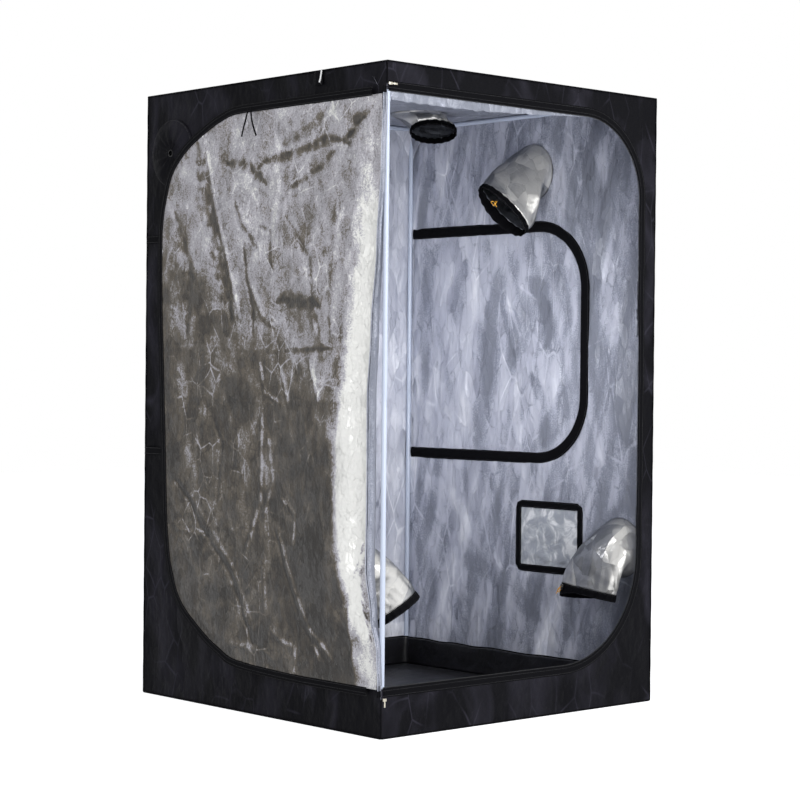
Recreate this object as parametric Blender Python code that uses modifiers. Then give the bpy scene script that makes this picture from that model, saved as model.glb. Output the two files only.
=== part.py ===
"""Indoor grow tent, 1.2 m square and 2 m tall, as separate pieces.

Metres, +Z up. The origin is the middle of the floor's underside. The front doorway
faces -Y and its door is folded back over the left wall, which faces -X.
"""
import math

import bmesh
import bpy
from mathutils import Vector

# Whole tent, outside of the cloth
TENT_WIDTH = 1.2
TENT_DEPTH = 1.2
TENT_HEIGHT = 2.0

# Cloth and seats
CLOTH = 0.0015
GAP = 0.0003
OVERRUN = 0.002

# Poles and corner fittings
TUBE_RADIUS = 0.008
TUBE_WALL = 0.001
KNUCKLE_RADIUS = 0.0088
ARM_LENGTH = 0.034
SPIGOT_LENGTH = 0.045
TUBE_SIDES = 16

# Front doorway in the front wall, open at the front left pole
DOORWAY_SIDE_STRIP = 0.075
HEADER_HEIGHT = 0.085
DOORWAY_SILL = 0.15
DOORWAY_TOP_RADIUS = 0.26
DOORWAY_SILL_RADIUS = 0.345
CORNER_STEPS = 10
LIGHT_FLAP_WIDTH = 0.05
LIGHT_FLAP_LAP = 0.015

# Front door, hung at the front left corner
DOOR_SIDE_CLEARANCE = 0.016
DOOR_TOP_LAP = 0.01
DOOR_SILL_LAP = 0.025
DOOR_TAPE_WIDTH = 0.025
DOOR_STANDOFF = 0.012
DOOR_BOW = 0.06
DOOR_FOLD_HEIGHT = 0.034
DOOR_FOLD_RISE = 0.1
DOOR_FOLD_FALL = 0.36
DOOR_RIPPLE_HEIGHT = 0.007
DOOR_FLAT_EDGE = 0.08
DOOR_HEM_FLAT = 0.055
DOOR_EDGE_STEPS = 4

# Hinge seams of the two doors
SEAM_CORD_RADIUS = 0.0025
SEAM_WEB = 0.0012
SEAM_STRETCH = 0.07

# Side door, half height, in the right wall
SIDE_DOOR_FRONT_STRIP = 0.33
SIDE_DOOR_BELOW_ROOF = 0.42
SIDE_DOOR_BOTTOM = 0.81
SIDE_DOOR_RADIUS = 0.2
SIDE_DOOR_LAP = 0.02
SIDE_BAND_WIDTH = 0.04
SIDE_BAND_THICKNESS = 0.003

# Small window in the right wall
WINDOW_FROM_FRONT = 0.468
WINDOW_Z = 0.515
WINDOW_WIDTH = 0.27
WINDOW_HEIGHT = 0.2
WINDOW_BORDER = 0.025
FILM_THICKNESS = 0.0006
FLAP_LAP = 0.02
FLAP_CLEARANCE = 0.004

# Duct ports
PORT_RADIUS = 0.1
SLEEVE_CLOTH = 0.0015
CUFF_WIDTH = 0.025
CUFF_THICKNESS = 0.004
OUTER_SLEEVE_RADIUS = 0.108
OUTER_SLEEVE_DEPTH = 0.0085
OUTER_SLEEVE_MOUTH = 0.012
SLEEVE_SIDES = 24
LOCK_RADIUS = 0.006
LOCK_LENGTH = 0.02
RIGHT_UPPER_PORT_FROM_MIDDLE = 0.03
RIGHT_UPPER_PORT_BELOW_ROOF = 0.21
RIGHT_LOWER_PORT_FROM_FRONT = 0.14
RIGHT_LOWER_PORT_HEIGHT = 0.5
LEFT_UPPER_PORT_FROM_REAR = 0.145
LEFT_UPPER_PORT_BELOW_ROOF = 0.2
LEFT_LOWER_PORT_FROM_FRONT = 0.18
LEFT_LOWER_PORT_HEIGHT = 0.5
ROOF_PORT_FROM_SIDE = 0.27
ROOF_PORT_FROM_REAR = 0.33

# Spill tray
TRAY_HEIGHT = 0.105
TRAY_CLOTH = 0.002
TRAY_CLEARANCE = 0.002
TRAY_CORNER_RADIUS = 0.02

# Zip sliders
SLIDER_LENGTH = 0.014
SLIDER_HEIGHT = 0.009
SLIDER_THICKNESS = 0.004
SLIDER_FROM_TAPE = 0.004
PULL_LENGTH = 0.024
PULL_WIDTH = 0.006
PULL_THICKNESS = 0.0015
SLIDER_INSET = 0.012

# Webbing on the left wall
WEBBING_WIDTH = 0.025
WEBBING_THICKNESS = 0.0015
WEBBING_LENGTH = 0.3
UPPER_WEBBING_BELOW_ROOF = 0.48
LOWER_WEBBING_HEIGHT = 0.815
STRAP_LOOP_FROM_FRONT = 0.31
STRAP_LOOP_DROP = 0.045
STRAP_LOOP_WIDTH = 0.038

# Outlines, as shares of the sizes that they follow.
# Free edge of the front door: width share, height share, from the hinge along the top.
DOOR_EDGE_SHARES = [
    (0.0, 1.0), (0.3, 1.0), (0.6, 1.0), (0.7, 0.99), (0.8, 0.966), (0.885, 0.937),
    (0.951, 0.896), (0.984, 0.842), (0.999, 0.792), (1.0, 0.72), (0.998, 0.653),
    (0.99, 0.56), (0.981, 0.45), (0.971, 0.33), (0.962, 0.24), (0.94, 0.167),
    (0.891, 0.106), (0.8, 0.061), (0.7, 0.027), (0.6, 0.008), (0.3, 0.0), (0.0, 0.0)]
# Bow of the hinge side: height share, bow share.
BOW_SHARES = [
    (0.0, 0.0), (0.06, 0.12), (0.12, 0.6), (0.2, 1.0), (0.34, 0.96), (0.48, 1.0),
    (0.6, 0.76), (0.74, 0.4), (0.88, 0.12), (1.0, 0.0)]

# Drawn-in outer sleeve: radius share, depth share.
OUTER_SLEEVE_SHARES = [(1.0, 0.0), (0.97, 0.55), (0.82, 0.92), (0.6, 1.0), (0.3, 0.86)]

RIGHT_ANGLE = math.pi / 2

# Values worked out from the ones above
half_width = TENT_WIDTH / 2
half_depth = TENT_DEPTH / 2
doorway_right = half_width - DOORWAY_SIDE_STRIP
doorway_top = TENT_HEIGHT - HEADER_HEIGHT
door_width = half_width + doorway_right + DOOR_STANDOFF - DOOR_SIDE_CLEARANCE
door_top = doorway_top + DOOR_TOP_LAP
door_bottom = DOORWAY_SILL - DOOR_SILL_LAP
side_door_width = TENT_DEPTH - SIDE_DOOR_FRONT_STRIP
side_door_top = TENT_HEIGHT - SIDE_DOOR_BELOW_ROOF
window_y = WINDOW_FROM_FRONT - half_depth
right_upper_y = -RIGHT_UPPER_PORT_FROM_MIDDLE
right_upper_z = TENT_HEIGHT - RIGHT_UPPER_PORT_BELOW_ROOF
right_lower_y = RIGHT_LOWER_PORT_FROM_FRONT - half_depth
left_upper_y = half_depth - LEFT_UPPER_PORT_FROM_REAR
left_upper_z = TENT_HEIGHT - LEFT_UPPER_PORT_BELOW_ROOF
left_lower_y = LEFT_LOWER_PORT_FROM_FRONT - half_depth
roof_port_x = half_width - ROOF_PORT_FROM_SIDE
roof_port_y = half_depth - ROOF_PORT_FROM_REAR
wall_inset = CLOTH + GAP
pole_x = half_width - wall_inset - KNUCKLE_RADIUS
pole_y = half_depth - wall_inset - KNUCKLE_RADIUS
pole_bottom = wall_inset + KNUCKLE_RADIUS
pole_top = TENT_HEIGHT - wall_inset - KNUCKLE_RADIUS
bore_radius = TUBE_RADIUS - TUBE_WALL
spigot_radius = bore_radius - GAP
face_offset = CLOTH / 2 + GAP
door_axis_x = -half_width - DOOR_STANDOFF
door_axis_y = -half_depth - face_offset
side_axis_x = half_width + face_offset
side_axis_y = half_depth + face_offset
hem_start = SEAM_CORD_RADIUS + GAP


def clear_scene():
    for item in list(bpy.data.objects):
        bpy.data.objects.remove(item, do_unlink=True)


def new_collection(name):
    collection = bpy.data.collections.new(name)
    bpy.context.scene.collection.children.link(collection)
    return collection


def new_material(name, colour, roughness, metallic=0.0, alpha=1.0):
    material = bpy.data.materials.new(name)
    material.use_nodes = True
    shader = material.node_tree.nodes["Principled BSDF"]
    shader.inputs["Base Color"].default_value = (*colour, 1.0)
    shader.inputs["Roughness"].default_value = roughness
    shader.inputs["Metallic"].default_value = metallic
    shader.inputs["Alpha"].default_value = alpha
    return material


def add_object(name, data, material, place=(0, 0, 0), turn=(0, 0, 0), parent=None, collection=None):
    item = bpy.data.objects.new(name, data)
    if material is not None and data is not None:
        data.materials.append(material)
    (collection or tent).objects.link(item)
    item.rotation_euler = turn
    item.location = place
    if parent is not None:
        item.parent = parent
        item.location = Vector(place) - parent.location
    return item


def joint_empty(name, place):
    item = add_object(name, None, None, place)
    item.empty_display_size = TUBE_RADIUS
    return item


def set_boolean(item, tool, operation):
    change = item.modifiers.new(operation.lower(), "BOOLEAN")
    change.operation = operation
    change.object = tool
    change.solver = "EXACT"


def as_tool(item):
    item.hide_render = True
    item.display_type = "WIRE"
    return item


# Flat sheets, as filled 2D curves

def flat_sheet(name, outlines, thickness, material, place, turn, parent=None):
    curve = bpy.data.curves.new(name, "CURVE")
    curve.dimensions = "2D"
    curve.fill_mode = "BOTH"
    curve.extrude = thickness / 2
    for outline in outlines:
        spline = curve.splines.new("POLY")
        spline.points.add(len(outline) - 1)
        for point, (across, up) in zip(spline.points, outline):
            point.co = (across, up, 0.0, 1.0)
        spline.use_cyclic_u = True
    return add_object(name, curve, material, place, turn, parent)


FACING_FRONT = (RIGHT_ANGLE, 0, 0)
FACING_SIDE = (RIGHT_ANGLE, 0, RIGHT_ANGLE)
LYING = (0, 0, 0)


def rectangle(left, right, low, high):
    return [(left, low), (right, low), (right, high), (left, high)]


def arc(centre, radius, first, last, steps):
    turns = [first + (last - first) * step / steps for step in range(steps + 1)]
    return [(centre[0] + radius * math.cos(turn), centre[1] + radius * math.sin(turn)) for turn in turns]


def circle(centre, radius, steps=28):
    return arc(centre, radius, 0.0, 2 * math.pi * (steps - 1) / steps, steps - 1)


def smooth_through(points, steps):
    """Catmull-Rom curve through the points."""
    path = [Vector(point) for point in points]
    ends = [2 * path[0] - path[1]] + path + [2 * path[-1] - path[-2]]
    out = []
    for index in range(1, len(ends) - 2):
        before, start, end, after = ends[index - 1:index + 3]
        for step in range(steps):
            t = step / steps
            out.append(0.5 * (2 * start + (end - before) * t
                              + (2 * before - 5 * start + 4 * end - after) * t ** 2
                              + (3 * start - before - 3 * end + after) * t ** 3))
    out.append(path[-1])
    return out


def step_between(table, value):
    """Smooth value of a two-column table."""
    for (low, first), (high, last) in zip(table, table[1:]):
        if value <= high:
            t = (value - low) / (high - low)
            t = max(0.0, min(1.0, t))
            return first + (last - first) * t * t * (3 - 2 * t)
    return table[-1][1]


def hinge_bow(height):
    """How far the hinge side of the doorway is drawn back from the corner."""
    span = doorway_top - DOORWAY_SILL
    return DOOR_BOW * step_between(BOW_SHARES, (height - DOORWAY_SILL) / span)


# Turned and lofted pieces

def turned(name, profile, sides, material, place=(0, 0, 0), turn=(0, 0, 0), closed=True, parent=None,
           collection=None):
    mesh = bpy.data.meshes.new(name)
    edges = [(index, index + 1) for index in range(len(profile) - 1)]
    if closed:
        edges.append((len(profile) - 1, 0))
    mesh.from_pydata([(radius, 0.0, height) for radius, height in profile], edges, [])
    item = add_object(name, mesh, material, place, turn, parent, collection)
    screw = item.modifiers.new("turn", "SCREW")
    screw.angle = 2 * math.pi
    screw.steps = sides
    screw.render_steps = sides
    screw.use_merge_vertices = True
    screw.merge_threshold = 0.00001
    return item


def smooth_shade(mesh, angle=0.6):
    mesh.shade_smooth()
    mesh.set_sharp_from_angle(angle=angle)


def loft(name, rings, thickness, material, parent=None):
    """Open tube through rings of points, thickened evenly about its surface."""
    shape = bmesh.new()
    rows = [[shape.verts.new(point) for point in ring] for ring in rings]
    count = len(rows[0])
    for low, high in zip(rows, rows[1:]):
        for index in range(count):
            after = (index + 1) % count
            shape.faces.new((low[index], low[after], high[after], high[index]))
    bmesh.ops.recalc_face_normals(shape, faces=shape.faces)
    mesh = bpy.data.meshes.new(name)
    shape.to_mesh(mesh)
    shape.free()
    smooth_shade(mesh)
    item = add_object(name, mesh, material, parent=parent)
    shell = item.modifiers.new("cloth", "SOLIDIFY")
    shell.thickness = thickness
    shell.offset = 0.0
    shell.use_even_offset = True
    return item


def block(name, size, material, place, collection=None):
    shape = bmesh.new()
    bmesh.ops.create_cube(shape, size=1.0)
    bmesh.ops.scale(shape, vec=size, verts=shape.verts)
    mesh = bpy.data.meshes.new(name)
    shape.to_mesh(mesh)
    shape.free()
    return add_object(name, mesh, material, place, collection=collection)


# Frame

def tube_profile(length):
    """Open tube from its lower end up."""
    return [(TUBE_RADIUS, length), (TUBE_RADIUS, 0.0), (bore_radius, 0.0), (bore_radius, length)]


def arm_profile():
    """Solid arm from the knuckle's middle: a shoulder, then a thinner spigot."""
    return [(0.0, ARM_LENGTH + SPIGOT_LENGTH), (spigot_radius - TUBE_WALL, ARM_LENGTH + SPIGOT_LENGTH),
            (spigot_radius, ARM_LENGTH + SPIGOT_LENGTH - TUBE_WALL), (spigot_radius, ARM_LENGTH),
            (TUBE_RADIUS, ARM_LENGTH), (TUBE_RADIUS, 0.0), (0.0, 0.0)]


def corner_fitting(name, side_x, side_y, side_z):
    """Three arms that meet in a ball: along X, along Y and up or down the post."""
    place = (side_x * pole_x, side_y * pole_y, pole_top if side_z > 0 else pole_bottom)
    mesh = bpy.data.meshes.new(name)
    shape = bmesh.new()
    bmesh.ops.create_uvsphere(shape, u_segments=TUBE_SIDES, v_segments=TUBE_SIDES // 2,
                              radius=KNUCKLE_RADIUS)
    shape.to_mesh(mesh)
    shape.free()
    fitting = add_object(name, mesh, paint, place)
    turns = {"x": (0, -side_x * RIGHT_ANGLE, 0), "y": (side_y * RIGHT_ANGLE, 0, 0),
             "z": (math.pi if side_z > 0 else 0.0, 0, 0)}
    for axis, turn in turns.items():
        arm = turned(name + "_arm_" + axis, arm_profile(), TUBE_SIDES, None, place, turn,
                     closed=False, collection=tools)
        set_boolean(fitting, as_tool(arm), "UNION")
    return fitting


def build_frame():
    corners = {"front_left": (-1, -1), "front_right": (1, -1), "rear_left": (-1, 1), "rear_right": (1, 1)}
    shoulder = ARM_LENGTH + GAP
    for corner, (side_x, side_y) in corners.items():
        corner_fitting("foot_corner_" + corner, side_x, side_y, -1)
        corner_fitting("top_corner_" + corner, side_x, side_y, 1)
        turned("post_" + corner, tube_profile(pole_top - pole_bottom - 2 * shoulder), TUBE_SIDES, paint,
               (side_x * pole_x, side_y * pole_y, pole_bottom + shoulder))
    rail_x = 2 * (pole_x - shoulder)
    rail_y = 2 * (pole_y - shoulder)
    for level, height in (("base", pole_bottom), ("top", pole_top)):
        for side, sign in (("front", -1), ("rear", 1)):
            turned(level + "_rail_" + side, tube_profile(rail_x), TUBE_SIDES, paint,
                   (-rail_x / 2, sign * pole_y, height), (0, RIGHT_ANGLE, 0))
        for side, sign in (("left", -1), ("right", 1)):
            turned(level + "_rail_" + side, tube_profile(rail_y), TUBE_SIDES, paint,
                   (sign * pole_x, rail_y / 2, height), (RIGHT_ANGLE, 0, 0))


# Cloth walls

def doorway_edge(inset, left):
    """Edge of the front doorway from the sill round to the header, drawn in by inset."""
    right = doorway_right - inset
    low_radius = DOORWAY_SILL_RADIUS - inset
    high_radius = DOORWAY_TOP_RADIUS - inset
    low = (right - low_radius, DOORWAY_SILL + inset + low_radius)
    high = (right - high_radius, doorway_top - inset - high_radius)
    return ([(left, DOORWAY_SILL + inset)] + arc(low, low_radius, -RIGHT_ANGLE, 0.0, CORNER_STEPS)
            + arc(high, high_radius, 0.0, RIGHT_ANGLE, CORNER_STEPS) + [(left, doorway_top - inset)])


def build_walls():
    side_reach = half_depth - wall_inset
    roof_reach = half_width - wall_inset
    front = [(-half_width, doorway_top), (-half_width, TENT_HEIGHT), (half_width, TENT_HEIGHT),
             (half_width, 0.0), (-half_width, 0.0)] + doorway_edge(0.0, -half_width)[:-1]
    flat_sheet("front_wall", [front], CLOTH, black_cloth, (0, -half_depth + CLOTH / 2, 0), FACING_FRONT)

    flap_left = -pole_x + TUBE_RADIUS + OVERRUN
    outer = doorway_edge(-LIGHT_FLAP_LAP, flap_left)[CORNER_STEPS + 1:]
    inner = doorway_edge(LIGHT_FLAP_WIDTH, flap_left)[CORNER_STEPS + 1:]
    flap = outer + list(reversed(inner))
    flat_sheet("front_light_flap", [flap], CLOTH, silver_cloth,
               (0, -half_depth + wall_inset + CLOTH / 2, 0), FACING_FRONT)

    flat_sheet("rear_wall", [rectangle(-half_width, half_width, 0.0, TENT_HEIGHT)], CLOTH, black_cloth,
               (0, half_depth - CLOTH / 2, 0), FACING_FRONT)

    steps = 18
    heights = [DOORWAY_SILL + (doorway_top - DOORWAY_SILL) * step / steps for step in range(steps + 1)]
    bowed = [(-side_reach + hinge_bow(height), height) for height in heights]
    left = [(side_reach, 0.0), (side_reach, TENT_HEIGHT), (-side_reach, TENT_HEIGHT)]
    left += list(reversed(bowed)) + [(-side_reach, 0.0)]
    left_holes = [circle((left_upper_y, left_upper_z), PORT_RADIUS),
                  circle((left_lower_y, LEFT_LOWER_PORT_HEIGHT), PORT_RADIUS)]
    flat_sheet("left_wall", [left] + left_holes, CLOTH, black_cloth,
               (-half_width + CLOTH / 2, 0, 0), FACING_SIDE)

    right_holes = [side_door_edge(0.0),
                   circle((right_upper_y, right_upper_z), PORT_RADIUS),
                   circle((right_lower_y, RIGHT_LOWER_PORT_HEIGHT), PORT_RADIUS),
                   window_edge(0.0)]
    right = rectangle(-side_reach, side_reach, 0.0, TENT_HEIGHT)
    flat_sheet("right_wall", [right] + right_holes, CLOTH, black_cloth,
               (half_width - CLOTH / 2, 0, 0), FACING_SIDE)

    roof = rectangle(-roof_reach, roof_reach, -side_reach, side_reach)
    roof_hole = circle((roof_port_x, roof_port_y), PORT_RADIUS)
    flat_sheet("roof_panel", [roof, roof_hole], CLOTH, black_cloth, (0, 0, TENT_HEIGHT - CLOTH / 2), LYING)
    flat_sheet("floor_sheet", [roof], CLOTH, black_cloth, (0, 0, CLOTH / 2), LYING)


def build_tray():
    reach_x = pole_x - TUBE_RADIUS - TRAY_CLEARANCE
    reach_y = pole_y - TUBE_RADIUS - TRAY_CLEARANCE
    shape = bmesh.new()
    bmesh.ops.create_cube(shape, size=1.0)
    bmesh.ops.scale(shape, vec=(2 * reach_x, 2 * reach_y, TRAY_HEIGHT), verts=shape.verts)
    bmesh.ops.translate(shape, vec=(0, 0, TRAY_HEIGHT / 2), verts=shape.verts)
    top = [face for face in shape.faces if face.normal.z > 0.5]
    bmesh.ops.delete(shape, geom=top, context="FACES")
    upright = [edge for edge in shape.edges if abs(edge.verts[0].co.z - edge.verts[1].co.z) > TRAY_CLOTH]
    bmesh.ops.bevel(shape, geom=upright, offset=TRAY_CORNER_RADIUS, segments=4, profile=0.5, affect="EDGES")
    mesh = bpy.data.meshes.new("spill_tray")
    shape.to_mesh(mesh)
    shape.free()
    tray = add_object("spill_tray", mesh, tray_cloth, (0, 0, wall_inset))
    shell = tray.modifiers.new("cloth", "SOLIDIFY")
    shell.thickness = TRAY_CLOTH
    shell.offset = -1.0
    shell.use_even_offset = True


# Front door

def door_outline(inset):
    """Free edge from the top at the hinge round to the bottom, drawn in by inset."""
    height = door_top - door_bottom
    edge = smooth_through([(door_width * across, door_bottom + height * up, 0.0)
                           for across, up in DOOR_EDGE_SHARES], DOOR_EDGE_STEPS)
    for point in edge:
        point.y = min(max(point.y, door_bottom), door_top)
    out = []
    for index, point in enumerate(edge):
        along = edge[min(index + 1, len(edge) - 1)] - edge[max(index - 1, 0)]
        inward = Vector((along.y, -along.x, 0.0)).normalized()
        drawn = point + inward * inset
        drawn.y = min(max(drawn.y, door_bottom + inset), door_top - inset)
        out.append(drawn)
    return out


def door_reach(height, edge):
    """Width of the door at a height, read from its free edge."""
    for upper, lower in zip(edge, edge[1:]):
        if upper.y >= height >= lower.y and upper.y > lower.y and upper.x > door_width / 4:
            t = (upper.y - height) / (upper.y - lower.y)
            return upper.x + (lower.x - upper.x) * t
    return edge[-1].x


def door_relief(across, height, start, reach):
    """Height of the door's folds above its own plane."""
    low, high = door_bottom, door_top
    level = hinge_bow(height) / DOOR_BOW
    rise = min(1.0, max(0.0, (across - start) / DOOR_FOLD_RISE))
    fall = min(1.0, max(0.0, (across - start - DOOR_FOLD_RISE) / DOOR_FOLD_FALL))
    fold = DOOR_FOLD_HEIGHT * level * rise * rise * (3 - 2 * rise) * (1 - fall * fall * (3 - 2 * fall))
    share_up = (height - low) / (high - low)
    share_out = across / door_width
    ripple = DOOR_RIPPLE_HEIGHT * (1 + math.sin(11.0 * share_out + 5.0 * share_up)
                                   * math.cos(4.0 * share_up - 3.0 * share_out)) / 2
    edge_room = min(reach + DOOR_TAPE_WIDTH - across, height - low, high - height) - DOOR_HEM_FLAT
    hem = min(1.0, max(0.0, edge_room / DOOR_FLAT_EDGE))
    near = min(1.0, max(0.0, (across - start) / DOOR_FLAT_EDGE))
    return (fold + ripple * near * near) * hem * hem * (3 - 2 * hem)


def build_front_door():
    hinge = joint_empty("front_door_axis", (door_axis_x, door_axis_y, 0))
    edge = door_outline(DOOR_TAPE_WIDTH + GAP)
    low = min(point.y for point in edge)
    high = max(point.y for point in edge)
    rows, columns = 30, 17
    shape = bmesh.new()
    grid = []
    for row in range(rows + 1):
        share = (1 - math.cos(math.pi * row / rows)) / 2
        height = low + (high - low) * share
        limited = min(max(height, low + GAP), high - GAP)
        start = hem_start + hinge_bow(height)
        reach = door_reach(limited, edge)
        line = []
        for column in range(columns + 1):
            across = start + (reach - start) * (column / columns)
            relief = door_relief(across, height, start, reach)
            line.append(shape.verts.new((-relief, across, height)))
        grid.append(line)
    for lower, upper in zip(grid, grid[1:]):
        for column in range(columns):
            shape.faces.new((lower[column], upper[column], upper[column + 1], lower[column + 1]))
    mesh = bpy.data.meshes.new("front_door")
    shape.to_mesh(mesh)
    shape.free()
    smooth_shade(mesh)
    door = add_object("front_door", mesh, silver_cloth, hinge.location, parent=hinge)
    cloth = door.modifiers.new("cloth", "SOLIDIFY")
    cloth.thickness = CLOTH
    cloth.offset = 0.0

    outer = [(point.x, point.y) for point in door_outline(0.0)]
    inner = [(point.x, point.y) for point in door_outline(DOOR_TAPE_WIDTH)]
    outer = [(max(x, hem_start), y) for x, y in outer]
    inner = [(max(x, hem_start), y) for x, y in inner]
    flat_sheet("front_door_tape", [outer + list(reversed(inner))], CLOTH, black_tape,
               hinge.location, FACING_SIDE, hinge)
    return hinge


def seam_outline(quarter):
    """Round cord with a web to the wall; quarter turns the web."""
    reach = DOOR_STANDOFF * math.sqrt(2) - GAP
    half = SEAM_WEB / 2
    round_part = arc((0.0, 0.0), SEAM_CORD_RADIUS, math.asin(half / SEAM_CORD_RADIUS),
                     2 * math.pi - math.asin(half / SEAM_CORD_RADIUS), 14)
    shape = round_part + [(reach - half, -half), (reach - half, half)]
    cos, sin = math.cos(quarter), math.sin(quarter)
    return [(x * cos - y * sin, x * sin + y * cos) for x, y in shape]


def build_seams():
    for name, low in (("front_door_seam_upper", door_top - SEAM_STRETCH),
                      ("front_door_seam_lower", door_bottom)):
        flat_sheet(name, [seam_outline(RIGHT_ANGLE / 2)], SEAM_STRETCH, black_tape,
                   (door_axis_x, door_axis_y, low + SEAM_STRETCH / 2), LYING)


# Side door in the right wall

def side_door_edge(grow):
    """D-shaped outline, straight beside the rear pole, let out by grow."""
    radius = SIDE_DOOR_RADIUS + grow
    start = half_depth - wall_inset - OVERRUN - 2 * KNUCKLE_RADIUS
    end = half_depth - side_door_width - grow
    top, bottom = side_door_top + grow, SIDE_DOOR_BOTTOM - grow
    return ([(start, bottom), (start, top)]
            + arc((end + radius, top - radius), radius, RIGHT_ANGLE, 2 * RIGHT_ANGLE, 8)
            + arc((end + radius, bottom + radius), radius, 2 * RIGHT_ANGLE, 3 * RIGHT_ANGLE, 8))


def build_side_door():
    hinge = joint_empty("side_door_axis", (side_axis_x, side_axis_y, 0))
    outline = side_door_edge(SIDE_DOOR_LAP)
    outline = [(side_axis_y - hem_start, y) if index < 2 else (x, y)
               for index, (x, y) in enumerate(outline)]
    moved = [(x - side_axis_y, y) for x, y in outline]
    flat_sheet("side_door", [moved], CLOTH, silver_cloth, hinge.location, FACING_SIDE, hinge)
    inner = side_door_edge(0.0)
    outer = side_door_edge(SIDE_BAND_WIDTH)
    band = outer[1:] + [outer[0], inner[0]] + list(reversed(inner[1:]))
    flat_sheet("side_door_band", [band], SIDE_BAND_THICKNESS, black_tape,
               (half_width - wall_inset - SIDE_BAND_THICKNESS / 2, 0, 0), FACING_SIDE)


# Window in the right wall

def window_edge(grow):
    across = WINDOW_WIDTH / 2 + grow
    up = WINDOW_HEIGHT / 2 + grow
    return rectangle(window_y - across, window_y + across, WINDOW_Z - up, WINDOW_Z + up)


def build_window():
    film_place = half_width - wall_inset - FILM_THICKNESS / 2
    flat_sheet("window_film", [window_edge(WINDOW_BORDER / 2)], FILM_THICKNESS, clear_film,
               (film_place, 0, 0), FACING_SIDE)
    frame_place = film_place - FILM_THICKNESS / 2 - GAP - CLOTH / 2
    flat_sheet("window_frame", [window_edge(WINDOW_BORDER), window_edge(0.0)], CLOTH, black_tape,
               (frame_place, 0, 0), FACING_SIDE)
    flap_top = WINDOW_Z + WINDOW_HEIGHT / 2 + FLAP_LAP
    hinge = joint_empty("window_flap_axis", (half_width + face_offset, window_y, flap_top))
    across = WINDOW_WIDTH / 2 + FLAP_LAP
    drop = WINDOW_HEIGHT + 2 * FLAP_LAP
    flat_sheet("window_flap", [rectangle(-across, across, -drop, 0.0)], CLOTH, black_cloth,
               hinge.location, FACING_SIDE, hinge)


# Duct ports

def ring_points(middle, wide, deep, half_wide, half_deep, sides):
    return [middle + wide * (half_wide * math.cos(2 * math.pi * k / sides))
            + deep * (half_deep * math.sin(2 * math.pi * k / sides)) for k in range(sides)]


def sleeve_frame(port, share):
    """Middle, wide and deep directions and half sizes of the sleeve at a share of its length."""
    inward, side, down = port["inward"], port["side"], port["down"]
    start = port["start"]
    reach, shift, drop = port["mouth_shares"]
    mouth = start + (inward * reach + side * shift + down * drop) * PORT_RADIUS
    facing = (inward * port["facing"][0] + side * port["facing"][1] + down * port["facing"][2]).normalized()
    pull = PORT_RADIUS * port["curl_share"]
    points = [start, start + inward * pull, mouth - facing * pull, mouth]
    a, b, c, d = [(1 - share) ** 3, 3 * share * (1 - share) ** 2, 3 * share ** 2 * (1 - share), share ** 3]
    middle = points[0] * a + points[1] * b + points[2] * c + points[3] * d
    heading = inward.lerp(facing, share * share * (3 - 2 * share)).normalized()
    mouth_wide = (inward * port["wide"][0] + side * port["wide"][1] + down * port["wide"][2]).normalized()
    wide = side.lerp(mouth_wide, share)
    wide = (wide - heading * wide.dot(heading)).normalized()
    deep = heading.cross(wide).normalized()
    ease = share * share * (3 - 2 * share)
    half_wide = PORT_RADIUS * (1 + (port["flat_shares"][0] - 1) * ease)
    half_deep = PORT_RADIUS * (1 + (port["flat_shares"][1] - 1) * (1 - (1 - share) ** 2))
    return middle, wide, deep, half_wide, half_deep, heading


def port_list():
    inside_x = half_width - wall_inset - GAP
    up = Vector((0, 0, 1))
    return [
        {"name": "right_upper", "start": Vector((inside_x, right_upper_y, right_upper_z)),
         "inward": Vector((-1, 0, 0)), "side": Vector((0, 1, 0)), "down": -up,
         "mouth_shares": (1.5, -0.2, 1.3), "facing": (0.5, 0.47, 0.73), "wide": (0.5, 0.46, -0.74),
         "flat_shares": (1.1, 0.4), "curl_share": 0.8, "lock_facet": 16},
        {"name": "right_lower", "start": Vector((inside_x, right_lower_y, RIGHT_LOWER_PORT_HEIGHT)),
         "inward": Vector((-1, 0, 0)), "side": Vector((0, 1, 0)), "down": -up,
         "mouth_shares": (1.0, 0.45, 1.35), "facing": (0.12, 0.1, 0.95), "wide": (0.05, 0.99, -0.1),
         "flat_shares": (1.15, 0.3), "curl_share": 0.75, "lock_facet": 18},
        {"name": "left_lower", "start": Vector((-inside_x, left_lower_y, LEFT_LOWER_PORT_HEIGHT)),
         "inward": Vector((1, 0, 0)), "side": Vector((0, -1, 0)), "down": -up,
         "mouth_shares": (1.9, 0.3, 1.3), "facing": (0.5, 0.3, 0.8), "wide": (0.6, 0.5, -0.56),
         "flat_shares": (0.8, 0.5), "curl_share": 0.8},
        {"name": "left_upper", "start": Vector((-inside_x, left_upper_y, left_upper_z)),
         "inward": Vector((1, 0, 0)), "side": Vector((0, -1, 0)), "down": -up,
         "mouth_shares": (1.2, 0.1, 1.4), "facing": (0.25, 0.0, 0.94), "wide": (0.0, 1.0, 0.0),
         "flat_shares": (1.1, 0.4), "curl_share": 0.75},
        {"name": "roof", "start": Vector((roof_port_x, roof_port_y, TENT_HEIGHT - wall_inset - GAP)),
         "inward": -up, "side": Vector((1, 0, 0)), "down": Vector((0, -1, 0)),
         "mouth_shares": (0.72, 0.36, 0.24), "facing": (1.0, 0.15, 0.1), "wide": (0.0, 1.0, 0.0),
         "flat_shares": (0.95, 0.8), "curl_share": 0.3},
    ]


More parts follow.
